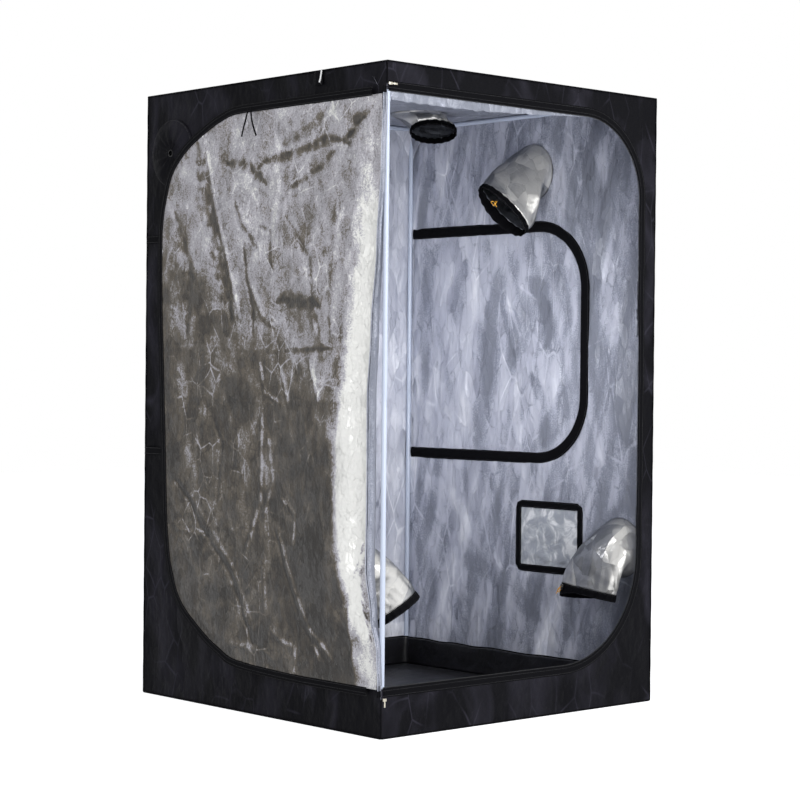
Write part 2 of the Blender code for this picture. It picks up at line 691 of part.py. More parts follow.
def build_port(port):
    sides, steps = 20, 8
    name = port["name"]
    offset = SLEEVE_CLOTH / 2
    rings = []
    for step in range(steps + 1):
        middle, wide, deep, half_wide, half_deep, heading = sleeve_frame(port, step / steps)
        rings.append(ring_points(middle, wide, deep, half_wide + offset, half_deep + offset, sides))
    loft(name + "_sleeve", rings, SLEEVE_CLOTH, silver_sleeve)

    middle, wide, deep, half_wide, half_deep, heading = sleeve_frame(port, 1.0)
    cuff_rings = [ring_points(middle + heading * (GAP + CUFF_WIDTH * part), wide, deep,
                              half_wide + offset, half_deep + offset, sides) for part in (0.0, 0.5, 1.0)]
    loft(name + "_cuff", cuff_rings, CUFF_THICKNESS, black_tape)

    if "lock_facet" not in port:
        return
    angle = 2 * math.pi * port["lock_facet"] / sides
    outward = (wide * (math.cos(angle) * half_deep) + deep * (math.sin(angle) * half_wide)).normalized()
    on_cuff = (middle + heading * (GAP + CUFF_WIDTH / 2) + wide * ((half_wide + offset) * math.cos(angle))
               + deep * ((half_deep + offset) * math.sin(angle)))
    lock = on_cuff + outward * (CUFF_THICKNESS / 2 + LOCK_RADIUS + GAP)
    build_cord_lock(name + "_cord_lock", lock, heading)


def build_outer_sleeve(name, place, outward):
    """Outer sleeve, drawn shut and lying flat on the wall."""
    radius, depth, mouth = OUTER_SLEEVE_RADIUS, OUTER_SLEEVE_DEPTH, OUTER_SLEEVE_MOUTH
    outer = [(radius * across, depth * up) for across, up in OUTER_SLEEVE_SHARES]
    outer.append((mouth, outer[-1][1]))
    inner = [(across, up - SLEEVE_CLOTH) for across, up in outer[1:]]
    inner.insert(0, (radius - SLEEVE_CLOTH, 0.0))
    turned(name, list(reversed(outer)) + inner, SLEEVE_SIDES, black_cloth, place,
           Vector(outward).to_track_quat("Z", "Y").to_euler())


def build_cord_lock(name, place, heading):
    turn = heading.to_track_quat("Z", "Y").to_euler()
    shape = bmesh.new()
    bmesh.ops.create_cone(shape, segments=TUBE_SIDES, cap_ends=True, radius1=LOCK_RADIUS,
                          radius2=LOCK_RADIUS, depth=LOCK_LENGTH)
    mesh = bpy.data.meshes.new(name)
    shape.to_mesh(mesh)
    shape.free()
    add_object(name, mesh, lock_plastic, place, turn)


# Zips and webbing

def zip_slider(name, place, outward, pull):
    """Slider body with its pull; outward and pull are unit directions, the zip runs across the wall."""
    outward, pull = Vector(outward), Vector(pull)
    across = Vector((0, 0, 1)).cross(outward)
    across = Vector([abs(value) for value in across])
    flat = Vector([abs(value) for value in outward])
    pull_way = Vector([abs(value) for value in pull])
    upright = Vector((0, 0, 1))
    side = across if pull_way.z else upright
    size = across * SLIDER_LENGTH + upright * SLIDER_HEIGHT + flat * SLIDER_THICKNESS
    middle = Vector(place) + outward * (SLIDER_THICKNESS / 2)
    body = block(name, size, slider_metal, middle)
    reach = size.dot(pull_way) / 2 - PULL_THICKNESS + PULL_LENGTH / 2
    tab_size = pull_way * PULL_LENGTH + side * PULL_WIDTH + flat * PULL_THICKNESS
    tab = block(name + "_pull", tab_size, None, middle + pull * reach, collection=tools)
    set_boolean(body, as_tool(tab), "UNION")


def build_sliders():
    front_y = -half_depth - GAP
    start_x = -half_width + SLIDER_INSET
    top_z = door_top + SLIDER_FROM_TAPE + SLIDER_HEIGHT / 2
    low_z = door_bottom - SLIDER_FROM_TAPE - SLIDER_HEIGHT / 2
    zip_slider("front_zip_slider_top", (start_x, front_y, top_z), (0, -1, 0), (1, 0, 0))
    zip_slider("front_zip_slider_bottom", (start_x, front_y, low_z), (0, -1, 0), (0, 0, -1))
    side_z = SIDE_DOOR_BOTTOM - SIDE_DOOR_LAP - SLIDER_FROM_TAPE - SLIDER_HEIGHT / 2
    zip_slider("side_zip_slider", (half_width + GAP, half_depth - SLIDER_INSET - SLIDER_LENGTH, side_z),
               (1, 0, 0), (0, 0, -1))


def build_webbing():
    face_x = -half_width - GAP - WEBBING_THICKNESS / 2
    band_size = (WEBBING_THICKNESS, WEBBING_LENGTH, WEBBING_WIDTH)
    middle_y = half_depth - wall_inset - WEBBING_LENGTH / 2
    block("wall_webbing_upper", band_size, black_tape,
          (face_x, middle_y, TENT_HEIGHT - UPPER_WEBBING_BELOW_ROOF))
    block("wall_webbing_lower", band_size, black_tape, (face_x, middle_y, LOWER_WEBBING_HEIGHT))
    loop_size = (WEBBING_THICKNESS, STRAP_LOOP_WIDTH, STRAP_LOOP_DROP)
    block("strap_loop", loop_size, black_tape,
          (face_x, STRAP_LOOP_FROM_FRONT - half_depth, TENT_HEIGHT - STRAP_LOOP_DROP / 2))


clear_scene()
tent = new_collection("grow_tent")
tools = new_collection("cutters")
paint = new_material("white_painted_steel", (0.75, 0.77, 0.8), 0.35, 0.2)
black_cloth = new_material("black_oxford_cloth", (0.022, 0.021, 0.026), 0.75)
silver_cloth = new_material("silver_laminate", (0.42, 0.43, 0.48), 0.35, 0.6)
silver_sleeve = new_material("silver_sleeve", (0.5, 0.51, 0.54), 0.35, 0.6)
tray_cloth = new_material("black_tray_cloth", (0.012, 0.012, 0.015), 0.5)
black_tape = new_material("black_tape", (0.012, 0.012, 0.014), 0.7)
clear_film = new_material("clear_film", (0.8, 0.82, 0.85), 0.15, 0.0, 0.4)
lock_plastic = new_material("lock_plastic", (0.02, 0.02, 0.02), 0.4)
slider_metal = new_material("slider_metal", (0.6, 0.55, 0.45), 0.35, 0.9)

build_frame()
build_walls()
build_tray()
build_front_door()
build_seams()
build_side_door()
build_window()
for port in port_list():
    build_port(port)
outside_x = half_width + GAP
build_outer_sleeve("right_upper_outer_sleeve", (outside_x, right_upper_y, right_upper_z), (1, 0, 0))
build_outer_sleeve("right_lower_outer_sleeve",
                   (outside_x, right_lower_y, RIGHT_LOWER_PORT_HEIGHT), (1, 0, 0))
build_outer_sleeve("left_upper_outer_sleeve", (-outside_x, left_upper_y, left_upper_z), (-1, 0, 0))
build_outer_sleeve("left_lower_outer_sleeve", (-outside_x, left_lower_y, LEFT_LOWER_PORT_HEIGHT), (-1, 0, 0))
build_outer_sleeve("roof_outer_sleeve", (roof_port_x, roof_port_y, TENT_HEIGHT + GAP), (0, 0, 1))
build_sliders()
build_webbing()
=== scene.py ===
import math

import bpy
import bmesh
import numpy as np
from mathutils import Matrix, Vector, geometry, noise


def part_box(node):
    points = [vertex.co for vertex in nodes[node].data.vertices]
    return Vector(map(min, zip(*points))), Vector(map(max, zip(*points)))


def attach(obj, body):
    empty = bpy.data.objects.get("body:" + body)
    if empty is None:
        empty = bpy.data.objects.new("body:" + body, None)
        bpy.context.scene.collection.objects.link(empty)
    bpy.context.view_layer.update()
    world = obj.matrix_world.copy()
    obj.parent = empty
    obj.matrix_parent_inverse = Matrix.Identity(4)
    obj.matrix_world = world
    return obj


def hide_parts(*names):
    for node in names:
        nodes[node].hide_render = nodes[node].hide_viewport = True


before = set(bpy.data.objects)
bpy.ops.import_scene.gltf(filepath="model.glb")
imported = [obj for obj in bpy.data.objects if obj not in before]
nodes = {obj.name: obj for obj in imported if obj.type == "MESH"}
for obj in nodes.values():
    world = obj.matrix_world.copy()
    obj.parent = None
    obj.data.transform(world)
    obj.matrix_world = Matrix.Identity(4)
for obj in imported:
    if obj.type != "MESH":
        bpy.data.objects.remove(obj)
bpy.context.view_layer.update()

mm = 0.001

# The tent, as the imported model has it
lowCorner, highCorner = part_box("front_wall")[0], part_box("rear_wall")[1]
halfWidth = highCorner.x
halfDepth = highCorner.y
tentHeight = highCorner.z
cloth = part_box("front_wall")[1].y - lowCorner.y  # what the solids use for one layer
gap = 0.3 * mm
west, east, north, up = Vector((-1, 0, 0)), Vector((1, 0, 0)), Vector((0, 1, 0)), Vector((0, 0, 1))

# Small helpers


def linear(hexColour):  # sRGB hex to linear
    channels = [int(hexColour[i:i + 2], 16) / 255 for i in (1, 3, 5)]
    return tuple(c / 12.92 if c <= 0.04045 else ((c + 0.055) / 1.055) ** 2.4 for c in channels) + (1.0,)


def smooth(value, low=0.0, high=1.0):  # for one number, which stays a plain float
    return float(smoothAll(value, low, high))


def smoothAll(values, low=0.0, high=1.0):
    t = np.clip((values - low) / (high - low), 0.0, 1.0)
    return t * t * (3 - 2 * t)


def newObject(name, data):
    made = bpy.data.objects.new(name, data)
    bpy.context.scene.collection.objects.link(made)
    return made


def wordsOf(name):  # front_wall becomes FrontWall
    return name.title().replace("_", "")


def finishPiece(name, mesh, body, replaced=(), slot=None, *materials):
    piece = newObject(name, mesh)
    for index, material in enumerate(materials):
        if index < len(mesh.materials):
            mesh.materials[index] = material
        else:
            mesh.materials.append(material)
    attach(piece, body)
    if replaced:
        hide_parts(*replaced)
    return piece


def applied(piece):  # modifiers into the mesh, none left live
    bpy.context.view_layer.update()
    graph = bpy.context.evaluated_depsgraph_get()
    mesh = bpy.data.meshes.new_from_object(piece.evaluated_get(graph))
    piece.modifiers.clear()
    old = piece.data
    piece.data = mesh
    if old.users == 0 and isinstance(old, bpy.types.Mesh):
        bpy.data.meshes.remove(old)
    return mesh


# Paths on a wall, as (across, up) pairs


def arcPoints(centre, radius, first, last, steps):
    turns = [first + (last - first) * k / steps for k in range(steps + 1)]
    return [(centre[0] + radius * math.cos(t), centre[1] + radius * math.sin(t)) for t in turns]


def roundedBox(left, right, low, high, radius, steps=6):
    r, quarter = radius, math.pi / 2
    return (arcPoints((right - r, low + r), r, -quarter, 0, steps)
            + arcPoints((right - r, high - r), r, 0, quarter, steps)
            + arcPoints((left + r, high - r), r, quarter, 2 * quarter, steps)
            + arcPoints((left + r, low + r), r, 2 * quarter, 3 * quarter, steps))


def stepLengths(path):
    return np.linalg.norm(np.diff(path, axis=0), axis=1)


def resampled(points, step, closed=False):
    path = np.array(points + ([points[0]] if closed else []), float)
    path = path[np.concatenate(([True], stepLengths(path) > 1e-7))]
    along = np.concatenate(([0.0], np.cumsum(stepLengths(path))))
    count = max(int(round(along[-1] / step)), 2)
    stops = np.linspace(0, along[-1], count + 1)
    out = np.stack([np.interp(stops, along, path[:, k]) for k in range(path.shape[1])], axis=1)
    return out[:-1] if closed else out


def curveThrough(points, steps):  # Catmull-Rom
    path = [Vector(p) for p in points]
    path = [2 * path[0] - path[1]] + path + [2 * path[-1] - path[-2]]
    out = []
    for k in range(1, len(path) - 2):
        a, b, c, d = path[k - 1:k + 3]
        for step in range(steps):
            t = step / steps
            out.append(0.5 * (2 * b + (c - a) * t + (2 * a - 5 * b + 4 * c - d) * t ** 2
                              + (3 * b - a - 3 * c + d) * t ** 3))
    return out + [path[-2]]


def offsetPath(path, distance, closed=False):  # to the left of the way it runs
    path = np.asarray(path, float)
    if closed:
        along = np.roll(path, -1, axis=0) - np.roll(path, 1, axis=0)
    else:
        along = np.gradient(path, axis=0)
    along /= np.maximum(np.linalg.norm(along, axis=1, keepdims=True), 1e-9)
    left = np.stack([-along[:, 1], along[:, 0]], axis=1)
    return path + left * distance


def inside(points, loop):  # even-odd test, all points at once
    x, y = points[:, 0], points[:, 1]
    result = np.zeros(len(points), bool)
    for (x1, y1), (x2, y2) in zip(loop, np.roll(loop, -1, axis=0)):
        if y1 == y2:
            continue
        crosses = (y1 > y) != (y2 > y)
        result ^= crosses & (x < (x2 - x1) * (y - y1) / (y2 - y1) + x1)
    return result


def edgeDistance(points, loops):
    best = np.full(len(points), 9.0)
    for loop in loops:
        for a, b in zip(loop, np.roll(loop, -1, axis=0)):
            run = b - a
            t = np.clip(((points - a) @ run) / max(run @ run, 1e-12), 0, 1)
            best = np.minimum(best, np.linalg.norm(points - a - t[:, None] * run, axis=1))
    return best


# Cloth sheets


def flatTriangles(outline, holes, spacing):
    loops = [resampled(list(map(tuple, loop)), spacing * 0.8, True) for loop in [outline] + list(holes)]
    low, high = loops[0].min(axis=0), loops[0].max(axis=0)
    columns = int((high[0] - low[0]) / spacing) + 2
    rows = int((high[1] - low[1]) / (spacing * 0.87)) + 2
    grid = np.array([(low[0] + (c + 0.5 * (r % 2)) * spacing, low[1] + r * spacing * 0.87)
                     for r in range(rows) for c in range(columns)])
    keep = inside(grid, loops[0])
    for hole in loops[1:]:
        keep &= ~inside(grid, hole)
    grid = grid[keep]
    grid = grid[edgeDistance(grid, loops) > spacing * 0.45]
    points, edges = [], []
    for loop in loops:
        start = len(points)
        points += [Vector(p) for p in loop]
        edges += [(start + k, start + (k + 1) % len(loop)) for k in range(len(loop))]
    points += [Vector(p) for p in grid]
    made = geometry.delaunay_2d_cdt(points, edges, [], 0, 1e-7)
    flat = np.array([tuple(p) for p in made[0]])
    faces = np.array([face for face in made[2] if len(face) == 3])
    middles = flat[faces].mean(axis=1)
    keep = inside(middles, loops[0])
    for hole in loops[1:]:
        keep &= ~inside(middles, hole)
    return flat, faces[keep], edgeDistance(flat, loops)


def thickened(name, mesh, thickness, offset, twoSided):
    shell = newObject(name + "Shell", mesh)
    thick = shell.modifiers.new("cloth", "SOLIDIFY")
    thick.thickness = thickness
    thick.offset = offset
    thick.use_rim = True
    if twoSided:
        mesh.materials.append(None)
        mesh.materials.append(None)
        thick.material_offset = 1
    result = applied(shell)
    bpy.data.objects.remove(shell)
    result.name = name
    result.shade_smooth()
    return result


def faceOut(mesh, way):  # turns the whole mesh over where its faces mostly point against way
    total = sum((polygon.normal * polygon.area for polygon in mesh.polygons), Vector())
    if total.dot(Vector(way)) < 0:
        mesh.flip_normals()
        mesh.update()


def outwardOf(place):
    zero = np.zeros(1)
    return (place(zero, zero, zero + 1) - place(zero, zero, zero))[0]


def storePaintedLight(mesh, lean, broad=None):  # painted light: how far each point leans towards the lamps, plus broad painted shade and highlight, stored for the film's colour
    normals = np.empty(len(mesh.vertices) * 3)
    mesh.vertices.foreach_get("normal", normals)
    values = 0.5 + normals.reshape(-1, 3) @ np.array(lean, float)
    if broad is not None:
        values += broad
    attribute = mesh.attributes.new("sheen", "FLOAT", "POINT")
    attribute.data.foreach_set("value", values.astype(np.float32))


def clothMesh(name, outline, holes, spacing, place, relief, thickness, lean=(0, 0, 0), broad=None):
    flat, faces, rim = flatTriangles(outline, holes, spacing)
    heights = relief(flat[:, 0], flat[:, 1], rim)
    verts = place(flat[:, 0], flat[:, 1], heights)
    used = np.unique(faces)
    renumber = np.full(len(flat), -1)
    renumber[used] = np.arange(len(used))
    mesh = bpy.data.meshes.new(name)
    mesh.from_pydata(verts[used].tolist(), [], renumber[faces].tolist())
    mesh.update()
    faceOut(mesh, outwardOf(place))
    mesh.shade_smooth()
    storePaintedLight(mesh, lean, None if broad is None else broad(flat[used, 0], flat[used, 1]))
    return thickened(name, mesh, thickness, -1.0, True)


def gridMesh(name, rows, closedAcross=False, closedAlong=False):  # rows of points, all the same length
    points = np.array(rows, float)
    count, across = points.shape[:2]
    faces = []
    for r in range(count if closedAlong else count - 1):
        for c in range(across if closedAcross else across - 1):
            low, high = r * across, ((r + 1) % count) * across
            faces.append((low + c, low + (c + 1) % across, high + (c + 1) % across, high + c))
    mesh = bpy.data.meshes.new(name)
    mesh.from_pydata(points.reshape(-1, 3).tolist(), [], faces)
    mesh.shade_smooth()
    mesh.update()
    return mesh


# lean and tone give the film's painted light: by how each point faces the lamps, and tone as painted shade or
# highlight over the whole ribbon
def ribbonMesh(name, path, near, far, place, relief, thickness, rows=4, closed=False, lean=(0, 0, 0),
               twoSided=False, tone=0.0):
    path = np.asarray(path, float)  # near and far are how far the edges lie to the path's left
    near, far = np.broadcast_to(near, len(path)), np.broadcast_to(far, len(path))
    stacks = []
    for row in range(rows + 1):
        share = row / rows
        step = offsetPath(path, 1.0, closed) - path
        line = path + step * (near + (far - near) * share)[:, None]
        stacks.append(place(line[:, 0], line[:, 1], relief(line[:, 0], line[:, 1], np.full(len(path), share))))
    mesh = gridMesh(name, stacks, closedAcross=closed)
    faceOut(mesh, outwardOf(place))
    storePaintedLight(mesh, lean, tone)
    return thickened(name, mesh, thickness, -1.0, twoSided)


def tubeRows(centres, radii, sides, tilt=None):  # rings round a line of points
    centres = np.array([tuple(c) for c in centres], float)
    along = np.gradient(centres, axis=0)
    along /= np.linalg.norm(along, axis=1, keepdims=True)
    side = np.array(tilt if tilt is not None else (0.0, 0.0, 1.0), float)
    rings = []
    radii = np.broadcast_to(radii, len(centres))
    for centre, way, radius in zip(centres, along, radii):
        side = side - way * (side @ way)
        if np.linalg.norm(side) < 1e-6:
            side = np.array((1.0, 0.3, 0.2)) - way * way[0]
        side = side / np.linalg.norm(side)
        other = np.cross(way, side)
        turns = np.arange(sides) * 2 * math.pi / sides
        rings.append(centre + radius * (np.outer(np.cos(turns), side) + np.outer(np.sin(turns), other)))
    return rings


def closedTube(name, rings, joined=False):  # with a flat cap at each end, unless its ends are joined
    mesh = gridMesh(name, rings, closedAcross=True, closedAlong=joined)
    shape = bmesh.new()
    shape.from_mesh(mesh)
    bmesh.ops.holes_fill(shape, edges=[edge for edge in shape.edges if edge.is_boundary])
    bmesh.ops.recalc_face_normals(shape, faces=shape.faces)
    shape.to_mesh(mesh)
    shape.free()
    mesh.shade_smooth()
    return mesh


def turnedTube(name, start, way, stations, sides, tilt):  # stations are places along way and radii
    return closedTube(name, tubeRows([start + way * a for a, r in stations], [r for a, r in stations], sides, tilt))


def joinedMesh(name, meshes):  # several meshes into one, their own faces kept
    shape = bmesh.new()
    for mesh in meshes:
        shape.from_mesh(mesh)
        bpy.data.meshes.remove(mesh)
    whole = bpy.data.meshes.new(name)
    shape.to_mesh(whole)
    shape.free()
    return whole


def roundedBlock(size, place, turn=None, radius=0.3, segments=3):  # radius is a share of the least side
    shape = bmesh.new()
    bmesh.ops.create_cube(shape, size=1.0)
    bmesh.ops.scale(shape, vec=size, verts=shape.verts)
    bmesh.ops.bevel(shape, geom=shape.edges, offset=min(size) * radius, segments=segments, profile=0.5,
                    affect="EDGES")
    if turn is not None:
        bmesh.ops.transform(shape, matrix=turn, verts=shape.verts)
    bmesh.ops.translate(shape, vec=Vector(place), verts=shape.verts)
    mesh = bpy.data.meshes.new("block")
    shape.to_mesh(mesh)
    shape.free()
    mesh.shade_smooth()
    return mesh


def wallPlace(origin, across, upward, outward):  # from flat coordinates and a height over the wall to a point
    origin, across, upward, outward = (np.array(v, float) for v in (origin, across, upward, outward))
    return lambda u, v, w: origin + np.outer(u, across) + np.outer(v, upward) + np.outer(w, outward)


# Wrinkles: crisp creases, as in film laminated to cloth


def creases(u, v, seed, wide, tall, warp=0.35):  # wide and tall are the crease spacing in metres
    out = np.empty(len(u))
    for k, (x, y) in enumerate(zip(u / wide, v / tall)):
        shift = noise.noise((x * 0.6, y * 0.6, seed + 7.3)) * warp * 2
        out[k] = 1 - 2.2 * abs(noise.noise((x + shift, y + shift * 0.7, seed)))
    return out


def swells(u, v, seed, wide, tall):
    return np.array([noise.noise((x, y, seed)) for x, y in zip(u / wide, v / tall)])


def facets(u, v, seed, size, count=5):  # flat facets between straight folds, as in crumpled paper
    rng = np.random.default_rng(seed)
    drift = 0.25 * swells(u, v, seed + 0.5, size * 3, size * 3)
    total = np.zeros(len(u))
    for _ in range(count):
        angle, phase, scale = rng.uniform(0, math.pi), rng.uniform(0, 1), rng.uniform(0.7, 1.6)
        run = (u * math.cos(angle) + v * math.sin(angle)) / (size * scale) + phase + drift
        total += np.abs((run % 1.0) - 0.5) * scale
    return total / count * 2 - 0.55


def wallRelief(seed, size, lift=0.0):  # size is the height of the largest wrinkles
    def relief(u, v, rim):
        free = smoothAll(rim, 0.0, 0.05)
        shape = (0.9 * swells(u, v, seed, 0.22, 0.6) + 0.35 * creases(u, v, seed + 3, 0.17, 0.45)
                 + 0.2 * creases(u + 0.3 * v, v, seed + 5, 0.09, 0.2)
                 + 0.1 * creases(u, v - 0.4 * u, seed + 9, 0.05, 0.09))
        return lift + shape * size * free
    return relief


# Materials


def newMaterial(name, base, roughness, metallic=0.0, **shared):  # shared holds other values of the shader
    material = bpy.data.materials.new(name)
    material.use_nodes = True
    shader = material.node_tree.nodes["Principled BSDF"]
    shader.inputs["Base Color"].default_value = linear(base)
    values = {"Roughness": roughness, "Metallic": metallic, **shared}
    for key, value in values.items():
        shader.inputs[key].default_value = value
    return material, material.node_tree, shader


def addNode(tree, kind, inputs=None, stops=(), **settings):  # an input is a value, a socket or a node
    node = tree.nodes.new(kind)
    for key, value in settings.items():
        setattr(node, key, value)
    for key, value in (inputs or {}).items():
        if isinstance(value, bpy.types.Node):
            value = value.outputs[0]
        if isinstance(value, bpy.types.NodeSocket):
            tree.links.new(value, node.inputs[key])
        else:
            node.inputs[key].default_value = value
    for index, (place, colour) in enumerate(stops):
        elements = node.color_ramp.elements
        element = elements[index] if index < len(elements) else elements.new(place)
        element.position, element.color = place, linear(colour)
    return node


def layRelief(tree, shader, *layers):  # each layer is a height, its distance in metres and its strength
    normal = None
    for height, distance, strength in layers:
        inputs = {"Height": height, "Distance": distance, "Strength": strength}
        if normal:
            inputs["Normal"] = normal
        normal = addNode(tree, "ShaderNodeBump", inputs)
    tree.links.new(normal.outputs[0], shader.inputs["Normal"])


def crumpled(tree, place, size, warp):  # flat facets: their tone, their tilt as a height in metres, their edge lines, which the materials paint as crease highlight and shade
    bend = addNode(tree, "ShaderNodeTexNoise", {"Vector": place, "Scale": 1 / (size * 1.3), "Detail": 3.0,
                                                "Roughness": 0.7})
    shifted = addNode(tree, "ShaderNodeVectorMath", {0: bend.outputs["Color"], 1: (size * warp,) * 3, 2: place},
                      operation="MULTIPLY_ADD")
    cells = addNode(tree, "ShaderNodeTexVoronoi", {"Vector": shifted, "Scale": 1 / size})
    tone = addNode(tree, "ShaderNodeSeparateColor", {"Color": cells.outputs["Color"]})
    local = addNode(tree, "ShaderNodeVectorMath", {0: shifted, 1: cells.outputs["Position"]}, operation="SUBTRACT")
    lean = addNode(tree, "ShaderNodeVectorMath", {0: cells.outputs["Color"], 1: (0.5, 0.5, 0.5)},
                   operation="SUBTRACT")
    tilt = addNode(tree, "ShaderNodeVectorMath", {0: local, 1: lean}, operation="DOT_PRODUCT").outputs["Value"]
    sway = addNode(tree, "ShaderNodeTexNoise", {"Vector": place, "Scale": 1 / (size * 2.5), "Detail": 1.0})
    swayed = addNode(tree, "ShaderNodeVectorMath", {0: sway.outputs["Color"], 1: (size * 0.6,) * 3, 2: place},
                     operation="MULTIPLY_ADD")
    side = addNode(tree, "ShaderNodeTexVoronoi", {"Vector": swayed, "Scale": 1 / size}, feature="DISTANCE_TO_EDGE")
    edge = addNode(tree, "ShaderNodeMapRange", {"Value": side, "From Min": 0.0, "From Max": 2.6 * mm / size,
                                                "To Min": 1.0, "To Max": 0.0})
    # where the painted crease lines show
    worn = addNode(tree, "ShaderNodeTexNoise", {"Vector": place, "Scale": 1 / (size * 1.8), "Detail": 2.0})
    kept = addNode(tree, "ShaderNodeMapRange", {"Value": worn, "From Min": 0.47, "From Max": 0.66})
    return tone, tilt, addNode(tree, "ShaderNodeMath", {0: edge, 1: kept}, operation="MULTIPLY")


def foldLines(tree, place, size):  # 0 to 1, high on the broad lines of larger folds
    ridge = addNode(tree, "ShaderNodeTexNoise", {"Vector": place, "Scale": 1 / size, "Detail": 3.0, "Roughness": 0.5,
                                                 "Offset": 1.0, "Gain": 1.6, "Distortion": 0.3},
                    noise_type="RIDGED_MULTIFRACTAL")
    return addNode(tree, "ShaderNodeMapRange", {"Value": ridge, "From Min": 0.7, "From Max": 2.0})


# the lighter colour here is a painted highlight that crease edges and fold lines are lifted to
oxford = {"colour": "#09090d", "worn": "#292830", "thread": 1.6 * mm, "crease": 90 * mm, "roughness": 0.6,
          "cloud": 160 * mm, "toneShare": 0.1, "lineShare": 0.5, "cloudShare": 0.35, "edgeShare": 0.6,
          "ground": 0.1}  # the threads are drawn coarser than real, so that they show


def blackOxford():  # woven polyester with a coated back: dull black, with painted highlights on creases and fold lines for their faint bluish sheen
    material, tree, shader = newMaterial("blackOxfordCloth", oxford["colour"], oxford["roughness"],
                                         **{"Specular IOR Level": 0.05})
    place = addNode(tree, "ShaderNodeTexCoord").outputs["Object"]
    cloudy = addNode(tree, "ShaderNodeTexNoise", {"Vector": place, "Scale": 1 / oxford["cloud"], "Detail": 7.0,
                                                  "Roughness": 0.6})
    weave = addNode(tree, "ShaderNodeTexVoronoi", {"Vector": place, "Scale": 1 / oxford["thread"],
                                                   "Randomness": 0.25}, distance="CHEBYCHEV")
    turned = addNode(tree, "ShaderNodeMapping", {"Vector": place, "Rotation": (0.6, 0.5, 0.3), "Scale": (1, 1, 0.5)})
    tone, tilt, edge = crumpled(tree, turned, oxford["crease"], 1.5)
    line = foldLines(tree, turned, oxford["crease"] * 2.2)
    # painted highlight: fold lines and crease edges lift the colour; the facet tone and the slow cloud vary at
    # random
    shade = oxford["ground"]
    for source, key in ((line, "lineShare"), (tone, "toneShare"), (edge, "edgeShare"), (cloudy, "cloudShare")):
        shade = addNode(tree, "ShaderNodeMath", {0: source, 1: oxford[key], 2: shade}, operation="MULTIPLY_ADD")
    ramp = addNode(tree, "ShaderNodeValToRGB", {"Fac": shade}, [(0.4, oxford["colour"]), (0.95, oxford["worn"])])
    tree.links.new(ramp.outputs["Color"], shader.inputs["Base Color"])
    layRelief(tree, shader, (line, 4 * mm, 0.8), (cloudy, 26 * mm, 0.6), (tilt, 0.22, 1.0),
              (weave, 0.4 * mm, 0.25))
    return material


def metallisedFilm(name, look):  # aluminised film laminated to cloth; its colour is painted light: the painted light stored on the mesh, facet tones, patches, fold and edge lines and specks stand in for shade, reflections, highlights and glints
    material, tree, shader = newMaterial(name, look["middle"], look["roughness"], look["metallic"])
    place = addNode(tree, "ShaderNodeTexCoord").outputs["Object"]
    stretched = addNode(tree, "ShaderNodeMapping", {"Vector": place, "Scale": look["stretch"]})
    large, largeTilt, largeEdge = crumpled(tree, stretched, look["facet"] * 1.4, look["warp"])
    small, smallTilt, smallEdge = crumpled(tree, stretched, look["facet"] * 0.5, look["warp"])
    fold = foldLines(tree, stretched, look["facet"] * 2.4)
    patch = addNode(tree, "ShaderNodeTexNoise", {"Vector": stretched, "Scale": 1 / (look["facet"] * 4),
                                                 "Detail": 6.0, "Roughness": 0.62, "Distortion": 0.6})
    grain = addNode(tree, "ShaderNodeTexNoise", {"Vector": place, "Scale": 1 / look["pebble"], "Detail": 2.0,
                                                 "Roughness": 0.8})
    # the painted light stored on the mesh, to which facets, patches, folds and edges add painted reflection and
    # shade
    lean = addNode(tree, "ShaderNodeAttribute", attribute_name="sheen").outputs["Fac"]
    shares = [look[key] for key in ("facetShare", "smallShare", "patchShare", "foldShare")]
    total = addNode(tree, "ShaderNodeMath", {0: lean, 1: sum(shares) / 2}, operation="SUBTRACT")
    for source, share in list(zip((large, small, patch, fold), shares)) + [
            (largeEdge, look["edgeShare"]), (smallEdge, -look["edgeShare"] * 0.6)]:
        total = addNode(tree, "ShaderNodeMath", {0: source, 1: share, 2: total}, operation="MULTIPLY_ADD")
    (low, high), (weak, strong) = look["grainAt"], look["grain"]  # specks, painted glints, are as strong as the tone says
    strength = addNode(tree, "ShaderNodeMapRange", {"Value": total, "From Min": low, "From Max": high,
                                                    "To Min": weak, "To Max": strong})
    speck = addNode(tree, "ShaderNodeMath", {0: grain, 1: 0.5}, operation="SUBTRACT")
    speck = addNode(tree, "ShaderNodeMath", {0: speck, 1: strength, 2: total}, operation="MULTIPLY_ADD")
    ramp = addNode(tree, "ShaderNodeValToRGB", {"Fac": speck}, look["stops"])
    tree.links.new(ramp.outputs["Color"], shader.inputs["Base Color"])
    layRelief(tree, shader, (patch, look["patchBump"], 0.6), (largeTilt, look["tilt"], 1.0),
              (smallTilt, look["tilt"], 1.0), (fold, look["foldBump"], 0.7),
              (grain, look["pebble"] * 0.3, look["pebbleBump"]))
    return material


